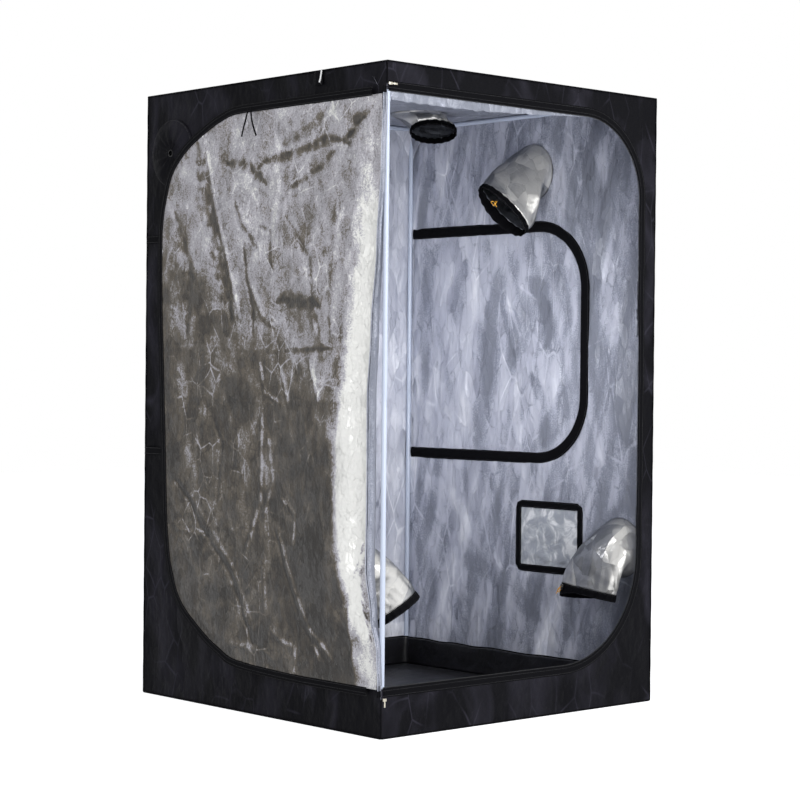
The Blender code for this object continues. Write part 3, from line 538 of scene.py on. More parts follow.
# each look's stops run from painted shade through painted reflection to painted highlight; its shares set how much
# facets, patches, folds and edges add to that painted light
liningLook = {"middle": "#a4a8b6", "roughness": 0.42, "metallic": 0.12, "stretch": (1.0, 1.0, 0.4), "facet": 60 * mm,
              "warp": 0.8, "pebble": 4 * mm, "facetShare": 0.06, "smallShare": 0.04, "patchShare": 0.35,
              "foldShare": 0.26, "edgeShare": 0.36, "grain": (0.9, 0.12), "grainAt": (0.42, 0.56),
              "patchBump": 8 * mm, "tilt": 0.4, "foldBump": 3 * mm, "pebbleBump": 0.2,
              "stops": [(0.15, "#7c808c"), (0.38, "#969aa8"), (0.5, "#b1b4c2"), (0.72, "#c1c4d0"),
                        (0.98, "#e0e2ea")]}
doorLook = {"middle": "#8d8a88", "roughness": 0.4, "metallic": 0.3, "stretch": (1.0, 1.0, 0.7), "facet": 44 * mm,
            "warp": 1.3, "pebble": 4.6 * mm, "facetShare": 0.14, "smallShare": 0.1, "patchShare": 0.34,
            "foldShare": 0.3, "edgeShare": 0.34, "grain": (0.4, 1.2), "grainAt": (0.3, 0.6),
            "patchBump": 6 * mm, "tilt": 0.3, "foldBump": 1 * mm, "pebbleBump": 0.3,
            "stops": [(0.0, "#1c1916"), (0.2, "#36312b"), (0.41, "#575046"), (0.5, "#7d7a7a"), (0.62, "#98969d"),
                      (0.84, "#aaa9af"), (1.0, "#d2d2cf")]}
sleeveLook = {"middle": "#94969a", "roughness": 0.3, "metallic": 0.45, "stretch": (1.0, 1.0, 0.8), "facet": 95 * mm,
              "warp": 0.35, "pebble": 2 * mm, "facetShare": 0.42, "smallShare": 0.06, "patchShare": 0.2,
              "foldShare": 0.2, "edgeShare": 0.16, "grain": (0.1, 0.05), "grainAt": (0.3, 0.6),
              "patchBump": 6 * mm, "tilt": 0.45, "foldBump": 2 * mm, "pebbleBump": 0.1,
              "stops": [(0.15, "#4c4f56"), (0.4, "#6f7278"), (0.6, "#8f9093"), (0.85, "#c2c1be")]}


def grainedFinish(name, colour, roughness, metallic, grain, strength, depth=0.2 * mm, detail=3.0, **shared):
    material, tree, shader = newMaterial(name, colour, roughness, metallic, **shared)
    place = addNode(tree, "ShaderNodeTexCoord").outputs["Object"]
    speck = addNode(tree, "ShaderNodeTexNoise", {"Vector": place, "Scale": 1 / grain, "Detail": detail})
    layRelief(tree, shader, (speck, depth, strength))
    return material


def softFinish(material, tree, shader, size, detail, stops, bump):  # tone by one slow noise, relief by another
    place = addNode(tree, "ShaderNodeTexCoord").outputs["Object"]
    cloudy = addNode(tree, "ShaderNodeTexNoise", {"Vector": place, "Scale": 1 / size[0], "Detail": detail[0],
                                                  "Distortion": detail[1]})
    ramp = addNode(tree, "ShaderNodeValToRGB", {"Fac": cloudy}, stops)
    tree.links.new(ramp.outputs["Color"], shader.inputs["Base Color"])
    crinkle = addNode(tree, "ShaderNodeTexNoise", {"Vector": place, "Scale": 1 / size[1], "Detail": detail[2],
                                                   "Distortion": detail[3]})
    layRelief(tree, shader, (crinkle, bump, 0.6))
    return material


oxfordCloth = blackOxford()
filmLining = metallisedFilm("silverFilmLining", liningLook)
filmDoor = metallisedFilm("silverFilmDoor", doorLook)
filmSleeve = metallisedFilm("silverFilmSleeve", sleeveLook)
# coated polyester: black, smoother than the walls, soft creases that catch light
coatedCloth = softFinish(*newMaterial("coatedTrayCloth", "#0c0c10", 0.45), (120 * mm, 120 * mm),
                         (6.0, 0.0, 6.0, 0.0), [(0.35, "#0a0a0e"), (0.7, "#16161c")], 18 * mm)
# clear soft film: glossy, slightly milky, crinkled
vinyl = softFinish(*newMaterial("clearVinylFilm", "#c3c6cc", 0.14, Alpha=0.75), (60 * mm, 50 * mm),
                   (5.0, 1.5, 4.0, 1.2), [(0.42, "#aeb3bc"), (0.52, "#c2c6cd"), (0.62, "#eef0f3")], 12 * mm)
# woven polyester tape: dull, ribbed across
tape = grainedFinish("blackBindingTape", "#09090c", 0.8, 0.0, 2 * mm, 0.4, 0.5 * mm, **{"Specular IOR Level": 0.05})
# white powder coated steel tube: satin with faint orange peel
polePaint = grainedFinish("whitePowderCoat", "#b7c0d2", 0.32, 0.0, 3 * mm, 0.08, 0.3 * mm, 2.0)
lockPlastic = grainedFinish("mouldedBlackPlastic", "#151516", 0.4, 0.0, 1.5 * mm, 0.15)  # fine moulded grain
sliderMetal = grainedFinish("nickelPlatedZinc", "#b9b4a6", 0.3, 0.95, 2 * mm, 0.1)  # cast, then plated: soft shine
zipNylon = grainedFinish("nylonZipCoil", "#1a1a1c", 0.45, 0.0, 1 * mm, 0.2)  # smooth plastic wire
sewingThread = grainedFinish("polyesterThread", "#2e2e31", 0.6, 0.0, 0.6 * mm, 0.3)  # twisted, a little shiny
yellowCord = grainedFinish("yellowBraidedCord", "#d69a1e", 0.6, 0.0, 0.8 * mm, 0.5)  # rough braid
elasticCord = grainedFinish("blackBraidedCord", "#131314", 0.7, 0.0, 0.8 * mm, 0.5)  # rough braid
whiteCloth = grainedFinish("whiteWovenTape", "#e9e9e9", 0.7, 0.0, 1 * mm, 0.3)  # matt weave
print("materials made")


# Stitches and zip teeth: one small block again and again along paths


def rowTree(name, blockSides):  # Geometry Nodes: blocks spaced along the mesh's edges, each facing "facing"
    tree = bpy.data.node_groups.new(name, "GeometryNodeTree")
    face = tree.interface
    face.new_socket("Geometry", in_out="INPUT", socket_type="NodeSocketGeometry")
    for label in ("Spacing", "Along", "Across", "High"):
        face.new_socket(label, in_out="INPUT", socket_type="NodeSocketFloat")
    face.new_socket("Material", in_out="INPUT", socket_type="NodeSocketMaterial")
    face.new_socket("Geometry", in_out="OUTPUT", socket_type="NodeSocketGeometry")
    given = addNode(tree, "NodeGroupInput").outputs
    line = addNode(tree, "GeometryNodeMeshToCurve", {"Mesh": given["Geometry"]})
    stops = addNode(tree, "GeometryNodeResampleCurve", {"Curve": line, "Length": given["Spacing"]}, mode="LENGTH")
    way = addNode(tree, "GeometryNodeInputTangent")
    facing = addNode(tree, "GeometryNodeInputNamedAttribute", {"Name": "facing"}, data_type="FLOAT_VECTOR")
    first = addNode(tree, "FunctionNodeAlignRotationToVector", {"Vector": way}, axis="X")
    turned = addNode(tree, "FunctionNodeAlignRotationToVector", {"Rotation": first, "Vector": facing}, axis="Z",
                     pivot_axis="X")
    drum = addNode(tree, "GeometryNodeMeshCylinder", {"Vertices": blockSides, "Radius": 0.5, "Depth": 1.0})
    laid = addNode(tree, "GeometryNodeTransform", {"Geometry": drum, "Rotation": (0, math.pi / 2, 0)})
    size = addNode(tree, "ShaderNodeCombineXYZ", {"X": given["Along"], "Y": given["Across"], "Z": given["High"]})
    placed = addNode(tree, "GeometryNodeInstanceOnPoints", {"Points": stops, "Instance": laid, "Rotation": turned,
                                                            "Scale": size})
    real = addNode(tree, "GeometryNodeRealizeInstances", {"Geometry": placed})
    painted = addNode(tree, "GeometryNodeSetMaterial", {"Geometry": real, "Material": given["Material"]})
    addNode(tree, "NodeGroupOutput", {"Geometry": painted})
    return tree


rowKinds = {
    "stitches": {"Spacing": 5 * mm, "Along": 3.4 * mm, "Across": 0.8 * mm, "High": 0.6 * mm,
                 "Material": sewingThread},
    "zipTeeth": {"Spacing": 3 * mm, "Along": 1.5 * mm, "Across": 5 * mm, "High": 1.8 * mm, "Material": zipNylon}}
rowPaths = {}


def addRow(kind, body, points, facing, closed=False):  # points in the tent's frame, facing one way for them all
    rowPaths.setdefault((kind, body), []).append((np.array(points, float), facing, closed))


def addRowBeside(kind, body, path, shift, place, height, facing, closed=False):  # shift is to the path's left
    line = offsetPath(path, shift, closed)
    addRow(kind, body, place(line[:, 0], line[:, 1], 0 * line[:, 0] + height), facing, closed)


def layTape(name, body, node, path, near, far, place, relief, thickness, rows, closed=False, paint=tape):
    mesh = ribbonMesh(name, path, near, far, place, relief, thickness, rows, closed)
    return finishPiece(name, mesh, body, (node,) if node else (), "black_tape", paint)


def buildRows():
    trees = {"stitches": rowTree("stitchRow", 5), "zipTeeth": rowTree("zipToothRow", 6)}
    for (kind, body), paths in rowPaths.items():
        verts, edges, facings = [], [], []
        for points, facing, closed in paths:
            start = len(verts)
            verts += points.tolist()
            facings += [tuple(facing)] * len(points)
            edges += [(start + k, start + k + 1) for k in range(len(points) - 1)]
            if closed:
                edges.append((len(verts) - 1, start))
        mesh = bpy.data.meshes.new(kind)
        mesh.from_pydata(verts, edges, [])
        attribute = mesh.attributes.new("facing", "FLOAT_VECTOR", "POINT")
        attribute.data.foreach_set("vector", np.array(facings, np.float32).ravel())
        line = newObject(kind + "Line", mesh)
        row = line.modifiers.new(kind, "NODES")
        row.node_group = trees[kind]
        for socket in trees[kind].interface.items_tree:
            if socket.in_out == "INPUT" and socket.name in rowKinds[kind]:
                row[socket.identifier] = rowKinds[kind][socket.name]
        result = applied(line)
        bpy.data.objects.remove(line)
        result.name = kind
        finishPiece(kind + wordsOf(body), result, body)


# Walls

doorway = {"right": 0.525, "top": 1.915, "sill": 0.15, "topRadius": 0.26, "sillRadius": 0.345, "bow": 0.06,
           "tape": 26 * mm}
sideDoor = {"width": 0.87, "top": 1.58, "bottom": 0.81, "radius": 0.2, "lap": 0.02, "band": 0.04,
            "flat": (0.9, 0.81), "tape": 22 * mm, "wrinkle": 5 * mm, "hinge": 0.5975,
            "cut": 0.5788}  # where the wall's opening ends beside the rear post
window = {"y": -0.132, "z": 0.515, "width": 0.27, "height": 0.2, "border": 0.025,
          "flat": (0.294, 0.224), "crinkle": 2.4 * mm, "hem": 15 * mm}
wall = {"spacing": 13 * mm, "fineSpacing": 7.5 * mm, "thickness": 0.8 * mm, "wrinkle": 5 * mm}
ports = {"rightUpper": (-0.03, 1.79), "rightLower": (-0.46, 0.5), "leftUpper": (0.455, 1.8),
         "leftLower": (-0.42, 0.5), "roof": (0.33, 0.27), "radius": 0.1}
bowPoints = [(0, 0), (0.06, 0.12), (0.12, 0.6), (0.2, 1), (0.34, 0.96), (0.48, 1), (0.6, 0.76), (0.74, 0.4),
             (0.88, 0.12), (1, 0)]


def hingeBow(height):
    share = (height - doorway["sill"]) / (doorway["top"] - doorway["sill"])
    for (low, first), (high, last) in zip(bowPoints, bowPoints[1:]):
        if share <= high:
            return doorway["bow"] * (first + (last - first) * smooth(share, low, high))
    return 0.0


def doorwayEdge(inset, left):
    right = doorway["right"] - inset
    lowR, highR = doorway["sillRadius"] - inset, doorway["topRadius"] - inset
    quarter = math.pi / 2
    climb = np.linspace(doorway["sill"] + inset + lowR, doorway["top"] - inset - highR, 40)[1:-1]
    side = [(right + 4.5 * mm * noise.noise((z * 7, 3.3, 0.5)) + 2 * mm * noise.noise((z * 21, 5.3, 0.5)), z)
            for z in climb]
    return ([(left, doorway["sill"] + inset)]
            + arcPoints((right - lowR, doorway["sill"] + inset + lowR), lowR, -quarter, 0, 20) + side
            + arcPoints((right - highR, doorway["top"] - inset - highR), highR, 0, quarter, 20)
            + [(left, doorway["top"] - inset)])


def sideDoorEdge(grow):
    r, start = sideDoor["radius"] + grow, sideDoor["cut"]
    end = halfDepth - sideDoor["width"] - grow
    top, bottom = sideDoor["top"] + grow, sideDoor["bottom"] - grow
    quarter = math.pi / 2
    return ([(start, bottom), (start, top)] + arcPoints((end + r, top - r), r, quarter, 2 * quarter, 16)
            + arcPoints((end + r, bottom + r), r, 2 * quarter, 3 * quarter, 16))


def ring(centre, radius, steps=48):
    return arcPoints(centre, radius, 0, 2 * math.pi * (steps - 1) / steps, steps - 1)


def portHole(name):
    return ring(ports[name], ports["radius"])


def windowHole(grow, radius=4 * mm):
    across, up = window["width"] / 2 + grow, window["height"] / 2 + grow
    return roundedBox(window["y"] - across, window["y"] + across, window["z"] - up, window["z"] + up, radius)


# each face lies on the inside of its wall's cloth, its third way into the tent
frontFace = wallPlace((0, -halfDepth + cloth, 0), east, up, north)
rearFace = wallPlace((0, halfDepth - cloth, 0), east, up, -north)
leftFace = wallPlace((-halfWidth + cloth, 0, 0), north, up, east)
rightFace = wallPlace((halfWidth - cloth, 0, 0), north, up, west)
roofFace = wallPlace((0, 0, tentHeight - cloth), east, north, -up)
floorFace = wallPlace((0, 0, cloth), east, north, up)
# and these lie against the right wall from outside, one looking in and one out
rightOutside = wallPlace((halfWidth + gap, 0, 0), north, up, west)
rightOuter = wallPlace((halfWidth + gap + cloth, 0, 0), north, up, east)
seam = halfDepth - cloth - gap
roofReach = halfWidth - cloth - gap


# lean and broad give the lining's painted light: lean towards the lamps, broad painted shade and highlight zones
def addWall(name, node, outline, holes, face, spacing, relief, lean=(0, 0, 0), broad=None):
    mesh = clothMesh(name, outline, holes, spacing, face, relief, wall["thickness"], lean, broad)
    piece = finishPiece(name, mesh, "tent", (node,), "black_oxford_cloth", filmLining, oxfordCloth)


def strokeShare(u, v, line, halfWidth):  # 1 on the line, 0 at its half width and past its tapered ends
    points = np.stack([u, v], axis=1)
    line = np.array(line, float)
    lengths = stepLengths(line)
    total = lengths.sum()
    best, along, before = np.full(len(u), 9.0), np.zeros(len(u)), 0.0
    for a, b, length in zip(line, line[1:], lengths):
        t = np.clip(((points - a) @ (b - a)) / length ** 2, 0, 1)
        away = np.linalg.norm(points - a - t[:, None] * (b - a), axis=1)
        closer = away < best
        best = np.where(closer, away, best)
        along = np.where(closer, (before + t * length) / total, along)
        before += length
    taper = smoothAll(along, 0, 0.18) * smoothAll(1 - along, 0, 0.18)
    return np.clip(1 - best / (halfWidth * (0.35 + 0.65 * taper)), 0, 1)


# line on the right wall, half width in mm, tone: painted shade zones and painted highlight facets between its folds
wallLightPatches = [
    ([(0.11, 1.5), (0.14, 1.35), (0.17, 1.2), (0.19, 1.02)], 50, -0.2),
    ([(0.1, 1.3), (0.03, 1.2), (0.06, 1.06)], 55, -0.2),
    ([(-0.01, 1.42), (-0.1, 1.36), (-0.12, 1.25), (-0.06, 1.15)], 46, -0.2),
    ([(-0.03, 1.08), (-0.09, 0.98), (-0.1, 0.84)], 42, -0.2), ([(0.0, 1.15), (0.05, 1.0), (0.02, 0.85)], 34, 0.16),
    ([(0.26, 1.5), (0.22, 1.2), (0.27, 0.95)], 40, 0.1), ([(-0.13, 1.2), (-0.17, 1.0), (-0.14, 0.88)], 38, 0.14),
    ([(0.1, 1.37), (0.02, 1.22)], 9, 0.2), ([(-0.27, 1.35), (-0.36, 1.1), (-0.5, 0.85)], 75, -0.18),
    ([(-0.27, 1.85), (-0.37, 1.6), (-0.46, 1.34)], 60, -0.14),
    ([(-0.28, 1.15), (-0.33, 0.95), (-0.38, 0.78)], 26, 0.16),
    ([(-0.1, 1.8), (-0.2, 1.62), (-0.22, 1.5)], 40, 0.08), ([(0.35, 1.85), (0.2, 1.72), (0.1, 1.6)], 60, -0.08),
    ([(0.5, 0.7), (0.3, 0.6), (0.2, 0.45)], 40, 0.12),
    ([(0.45, 0.55), (0.3, 0.42), (0.1, 0.35), (-0.1, 0.22)], 45, -0.16),
    ([(0.3, 0.3), (0.0, 0.2), (-0.3, 0.13)], 40, 0.1), ([(-0.25, 0.35), (-0.4, 0.4), (-0.52, 0.6)], 45, 0.1),
    ([(0.25, 0.85), (0.15, 0.7), (0.12, 0.55)], 34, -0.14)]


def rightWallTone(u, v):  # paler towards the rear, darker low down and at the front, as the light falls
    tone = (0.1 * smoothAll(u, -0.1, 0.4) - 0.16 * (1 - smoothAll(u, -0.45, -0.15)) - 0.04 * smoothAll(v, 1.5, 1.95)
            + 0.08 * swells(u, v, 71, 0.2, 0.6))
    for line, halfWidth, shade in wallLightPatches:
        ragged = 0.7 + 0.9 * swells(u, v, 72, 0.05, 0.09)
        tone += shade * np.clip(strokeShare(u, v, line, halfWidth * mm) * 2.6 * ragged, 0, 1)
    return tone


def rightWallRelief(u, v, rim):
    free = smoothAll(rim, 0.0, 0.05)
    low = 1 - smoothAll(v, 0.5, 0.9)
    slant = facets(u + 0.7 * v, v * 0.4, 45, 0.2, 4)  # folds that rise towards the front, under the side door
    upright = facets(u, v * 0.35, 46, 0.2, 4)
    fan = facets(u * 0.9 + 0.25 * v, v * 0.3 - 0.1 * u, 50, 0.13, 3)
    shape = 1.3 * upright * (1 - low) + 1.3 * slant * low + 0.7 * fan + 0.4 * facets(u, v * 0.5, 47, 0.08, 3)
    shape += 0.8 * swells(u, v, 49, 0.25, 0.5)
    return wall["wrinkle"] * free * shape


# painted light on the rear wall: brighter overall and much brighter at its foot, with random variation
def rearPaintedLight(u, v):
    return 0.16 + 0.12 * swells(u, v, 73, 0.12, 0.6) + 0.5 * smoothAll(0.16 - v, 0, 0.02)


def rectangle(across, low, high):  # the same to both sides
    return [(-across, low), (across, low), (across, high), (-across, high)]


def buildWalls():
    w, h, spacing = halfWidth, tentHeight, wall["spacing"]
    outline = [(-w, doorway["top"]), (-w, h), (w, h), (w, 0.0), (-w, 0.0)] + doorwayEdge(0.0, -w)[:-1]
    # the front's header, side and sill strips are made as one sheet round the doorway
    addWall("frontWall", "front_wall", outline, [], frontFace, 8 * mm, wallRelief(11, -2.5 * mm))
    addWall("rearWall", "rear_wall", rectangle(w, 0, h), [], rearFace, spacing, wallRelief(23, 5 * mm),
            (1.2, 0, 0.4), rearPaintedLight)
    outline = ([(seam, 0), (seam, h), (-seam, h)] + [(-seam + hingeBow(z), z) for z in np.linspace(
        doorway["sill"], doorway["top"], 60)[::-1]] + [(-seam, 0)])
    addWall("leftWall", "left_wall", outline, [portHole("leftUpper"), portHole("leftLower")], leftFace, spacing,
            wallRelief(37, 4 * mm), (0, 1.2, 0.4))
    holes = [sideDoorEdge(0.0), portHole("rightUpper"), portHole("rightLower"), windowHole(0.0)]
    addWall("rightWall", "right_wall", rectangle(seam, 0, h), holes, rightFace, wall["fineSpacing"],
            rightWallRelief, (0, 3.6, 1.2), rightWallTone)
    outline, size = rectangle(roofReach, -seam, seam), (2 * roofReach, 2 * seam)
    # the roof's film is darkened all over: painted shade
    addWall("roofPanel", "roof_panel", outline, [portHole("roof")], roofFace, spacing, wallRelief(53, 5 * mm),
            (0.8, 0.8, 0), lambda u, v: 0 * u - 0.28)
    addWall("floorSheet", "floor_sheet", outline, [], floorFace, 30 * mm, lambda u, v, rim: 0 * u)


buildWalls()
print("walls made")


# Front door, folded back over the left wall

door = {"standoff": 0.012, "top": 1.925, "bottom": 0.125, "tape": 0.025, "fold": 0.034, "rise": 0.1, "fall": 0.36,
        "flat": (1.12, 1.8), "crumple": 3 * mm, "thickness": 0.7 * mm, "spacing": 7.5 * mm, "tie": 3.5 * mm}
door["width"] = halfWidth + doorway["right"] + door["standoff"] - 0.016
hingeX = -halfWidth - door["standoff"]
hingeY = -halfDepth - cloth / 2 - gap
doorEdgeShares = [
    (0.0, 1.0), (0.3, 1.0), (0.6, 1.0), (0.7, 0.99), (0.8, 0.966), (0.885, 0.937), (0.951, 0.896), (0.984, 0.842),
    (0.999, 0.792), (1.0, 0.72), (0.998, 0.653), (0.99, 0.56), (0.981, 0.45), (0.971, 0.33), (0.962, 0.24),
    (0.94, 0.167), (0.891, 0.106), (0.8, 0.061), (0.7, 0.027), (0.6, 0.008), (0.3, 0.0), (0.0, 0.0)]
# The door's own folds, in metres from its hinge and up: line, half width and height in mm, tone, which is painted
# shade where below 0 and painted highlight where above
doorFolds = [
    ([(0.905, 1.816), (0.845, 1.59), (0.807, 1.495), (0.763, 1.373), (0.72, 1.251)], 48, -5, -0.34),
    ([(0.862, 1.816), (0.801, 1.59), (0.763, 1.495), (0.719, 1.373), (0.676, 1.251)], 14, 4, 0.16),
    ([(0.661, 1.491), (0.642, 1.371), (0.61, 1.279), (0.609, 1.191)], 9, -4, -0.32),
    ([(0.584, 1.538), (0.528, 1.517), (0.532, 1.427), (0.507, 1.386)], 12, -4, -0.26),
    ([(0.59, 1.72), (0.558, 1.734), (0.419, 1.748), (0.253, 1.783), (0.147, 1.763)], 22, -6, -0.36),
    ([(0.471, 1.632), (0.36, 1.672), (0.28, 1.703), (0.202, 1.761), (0.08, 1.84)], 13, -5, -0.28),
    ([(0.756, 1.744), (0.647, 1.727), (0.551, 1.668)], 24, -5, -0.34),
    ([(0.473, 1.781), (0.338, 1.817), (0.26, 1.88)], 26, -4, -0.24),
    ([(0.16, 1.78), (0.107, 1.846), (0.045, 1.87)], 24, -4, -0.26),
    ([(0.45, 1.56), (0.33, 1.42), (0.31, 1.3), (0.26, 1.2)], 18, -3, -0.14),
    ([(0.2, 1.6), (0.21, 1.4), (0.2, 1.2)], 22, 3, -0.16),
    ([(0.515, 1.284), (0.42, 1.3), (0.335, 1.293), (0.264, 1.279)], 28, -5, -0.34),
    ([(0.62, 1.35), (0.56, 1.25), (0.5, 1.22)], 14, 4, -0.2),
    ([(0.444, 1.147), (0.3, 1.147), (0.211, 1.152)], 12, -3, -0.3),
    ([(0.7, 1.62), (0.66, 1.55), (0.58, 1.47)], 14, 4, -0.22),
    ([(1.03, 1.6), (0.98, 1.5), (0.93, 1.38), (0.96, 1.2)], 30, -4, -0.2),
    ([(0.573, 1.119), (0.546, 1.015), (0.466, 0.986)], 9, 4, 0.3),
    ([(0.468, 1.103), (0.417, 0.977)], 8, 3, 0.24),
    ([(0.309, 1.119), (0.251, 0.995)], 12, 4, 0.26),
    ([(0.33, 0.96), (0.3, 0.8), (0.31, 0.7)], 10, 3, 0.14),
    ([(0.555, 0.975), (0.561, 0.686), (0.6, 0.59), (0.639, 0.49)], 11, 5, 0.34),
    ([(0.53, 0.9), (0.5, 0.75), (0.545, 0.62)], 9, 3, 0.2),
    ([(0.462, 0.691), (0.379, 0.649), (0.387, 0.538)], 9, 4, 0.26),
    ([(0.475, 0.598), (0.385, 0.412), (0.311, 0.296), (0.202, 0.213)], 11, 5, 0.24),
    ([(0.49, 0.59), (0.405, 0.41), (0.335, 0.29), (0.225, 0.195)], 10, -4, -0.12),
    ([(1.01, 0.723), (0.926, 0.652), (0.882, 0.589), (0.716, 0.443), (0.595, 0.228)], 13, -6, -0.24),
    ([(0.99, 0.735), (0.9, 0.655), (0.7, 0.46), (0.57, 0.24)], 9, 3, 0.12),
    ([(0.807, 0.928), (0.764, 0.849), (0.787, 0.659)], 10, -4, -0.14),
    ([(1.007, 0.566), (0.855, 0.549), (0.74, 0.5)], 10, 4, 0.12),
    ([(0.728, 0.215), (0.534, 0.209), (0.484, 0.183)], 10, 4, 0.16),
    ([(0.52, 0.292), (0.456, 0.249), (0.382, 0.234), (0.395, 0.147)], 9, 4, 0.34),
    ([(0.68, 0.36), (0.6, 0.27), (0.53, 0.33), (0.55, 0.49)], 10, 3, 0.14),
    ([(0.31, 0.3), (0.27, 0.2), (0.25, 0.14)], 9, 3, 0.16),
    ([(0.03, 0.58), (0.095, 0.47), (0.05, 0.36), (0.01, 0.3)], 12, -7, -0.3),
    ([(0.095, 0.47), (0.12, 0.3), (0.1, 0.14)], 14, 5, 0.1),
    ([(0.056, 0.601), (0.078, 0.48), (0.02, 0.3)], 24, 4, -0.4),
    ([(0.06, 0.62), (0.102, 0.477), (0.03, 0.28)], 5, 5, -0.7),
    ([(0.05, 0.62), (0.045, 0.45), (0.02, 0.3)], 6, -5, -0.6)]
foldGrid = {"across": [1.155, 0.99, 0.577, 0.492], "up": [0.541, 0.36, 0.683, 0.256, 0.86]}
# the painted highlight band beside the hinge: height and how far from the hinge it reaches
highlightBandEdge = [(0.12, 0.12), (0.286, 0.112), (0.462, 0.146), (0.639, 0.19), (0.849, 0.188), (1.0, 0.149), (1.179, 0.12),
            (1.416, 0.101), (1.592, 0.068), (1.738, 0.043), (1.92, 0.0)]


def doorPlace(u, v, w):  # u from the hinge, v up, w out from the wall
    return np.stack([hingeX - w, hingeY + u, v], axis=1)


def doorFreeEdge(inset):  # from the top at the hinge round to the bottom
    tall = door["top"] - door["bottom"]
    path = curveThrough([(door["width"] * a, door["bottom"] + tall * b, 0) for a, b in doorEdgeShares], 6)
    path = np.array([(p.x, min(max(p.y, door["bottom"]), door["top"])) for p in path])
    path = offsetPath(path, -inset)
    path[:, 1] = np.clip(path[:, 1], door["bottom"] + inset, door["top"] - inset)
    return path


# painted light on the door: painted highlight above a wavy line and painted shade below, a bright painted highlight
# band by the hinge, painted shade and highlight along folds, random variation
def doorPaintedLight(u, v):
    split = np.interp(u, [0, 0.15, 0.22, 0.61, 1.04, 1.2], [0.3, 0.62, 0.94, 1.2, 1.42, 1.46])
    split += 0.06 * swells(u, v, 82, 0.07, 0.05)
    tone = (0.3 * smoothAll(v - split, -0.1, 0.16) - 0.26 + 0.13 * smoothAll(v, 0.2, 1.3)
            + 0.05 * smoothAll(v, 1.2, 1.8))
    lows, edges = zip(*highlightBandEdge)
    edge = np.interp(v, lows, edges) + 12 * mm * swells(u, v, 83, 0.03, 0.05)
    tone += 0.66 * (1 - smoothAll(u - edge, -0.05, 0.01)) * (1 - 0.7 * smoothAll(v, 1.2, 1.75))
    tone -= 0.1 * smoothAll(u, 0.85, 1.1) * smoothAll(v, 1.2, 1.6)
    for line, halfWidth, height, shade in doorFolds:
        ragged = (0.65 if shade < 0 else 0.45) + 1.3 * swells(u, v, 84, 0.025, 0.025)
        tone += shade * np.clip(strokeShare(u, v, line, halfWidth * mm) * 2 * ragged, 0, 1)
    return tone + 0.12 * swells(u, v, 81, 0.12, 0.12)


def doorRelief(u, v, rim):
    bow = np.array([hingeBow(z) for z in v])
    starts = 3 * mm + bow
    rise = np.clip((u - starts) / door["rise"], 0, 1)
    fall = np.clip((u - starts - door["rise"]) / door["fall"], 0, 1)
    fold = door["fold"] * bow / doorway["bow"] * rise * rise * (3 - 2 * rise) * (1 - fall * fall * (3 - 2 * fall))
    free = smoothAll(rim, 0.0, 50 * mm) * smoothAll(u, 10 * mm, 80 * mm)
    shape = (0.9 * swells(u, v, 4.0, 0.3, 0.5) + 0.8 * facets(u, v, 5, 0.2) + 0.5 * facets(u, v, 9, 0.09)
             + 0.25 * facets(u, v, 12, 0.045))
    folds = np.zeros(len(u))
    for line, halfWidth, height, shade in doorFolds:
        folds += height * mm * strokeShare(u, v, line, halfWidth * mm)
    for level in foldGrid["across"]:
        folds += 1.6 * mm * np.clip(1 - np.abs(v - level - 6 * mm * np.sin(9 * u)) / (8 * mm), 0, 1)
    for level in foldGrid["up"]:
        folds += 1.4 * mm * np.clip(1 - np.abs(u - level) / (8 * mm), 0, 1) * smoothAll(1.5 - v, 0, 0.5)
    return fold * smoothAll(rim, 0, 60 * mm) + free * (door["crumple"] * (0.7 + shape) + 0.5 * folds)


def flatRelief(height):
    return lambda u, v, share: 0 * u + height


def alongDoor(inset, height, low=0.004):  # points on the door's face along its free edge
    path = doorFreeEdge(inset)
    path = path[path[:, 0] > low]
    return doorPlace(path[:, 0], path[:, 1], 0 * path[:, 0] + height)


def buildFrontDoor():
    edge = doorFreeEdge(door["tape"] * 0.9)
    heights = np.linspace(edge[-1][1], edge[0][1], 90)
    hingeSide = [(3 * mm + hingeBow(z), z) for z in heights]
    free = [tuple(p) for p in edge if p[0] > 6 * mm]
    # the door's film gets painted light by how each point faces the lamps and by its painted light zones
    mesh = clothMesh("frontDoor", free + hingeSide, [], door["spacing"], doorPlace, doorRelief, door["thickness"],
                     (0, -1.3, 0.9), doorPaintedLight)
    leaf = finishPiece("frontDoor", mesh, "front_door_leaf", ("front_door",), "silver_laminate", filmDoor,
                       oxfordCloth)
    path = resampled([tuple(p) for p in doorFreeEdge(0.0) if p[0] > 3 * mm], 10 * mm)
    wave = lambda u, v, share: 0.7 * mm + 0.6 * mm * swells(u, v, 91, 0.05, 0.05) * np.sin(share * math.pi)
    layTape("frontDoorTape", "front_door_leaf", "front_door_tape", path, 0.0, -door["tape"], doorPlace, wave,
            1.2 * mm, 5)
    for inset in (8 * mm, 21 * mm):
        addRow("stitches", "front_door_leaf", alongDoor(inset, 0.9 * mm), (-1, 0, 0))
    addRow("zipTeeth", "front_door_leaf", alongDoor(1.5 * mm, -0.4 * mm), (-1, 0, 0))
    tails = [(0.622, 1.912), (0.632, 1.87), (0.652, 1.822)], [(0.612, 1.912), (0.6, 1.87), (0.578, 1.82)]
    for number, line in enumerate(tails):
        path = resampled(line, 6 * mm)
        lift = 4 * mm + 5 * mm * np.sin(np.linspace(0, 2.4, len(path)))
        layTape("tieTail%d" % (number + 1), "front_door_leaf", None, path, -door["tie"], door["tie"], doorPlace,
                lambda u, v, share: lift + 12 * mm, 0.9 * mm, 2)


buildFrontDoor()
print("front door made")


# Round the doorway: zip tape outside, light flap inside


lightFlap = {"flat": 46 * mm, "under": 14 * mm, "width": 29 * mm, "swell": 4 * mm, "thickness": 0.7 * mm}


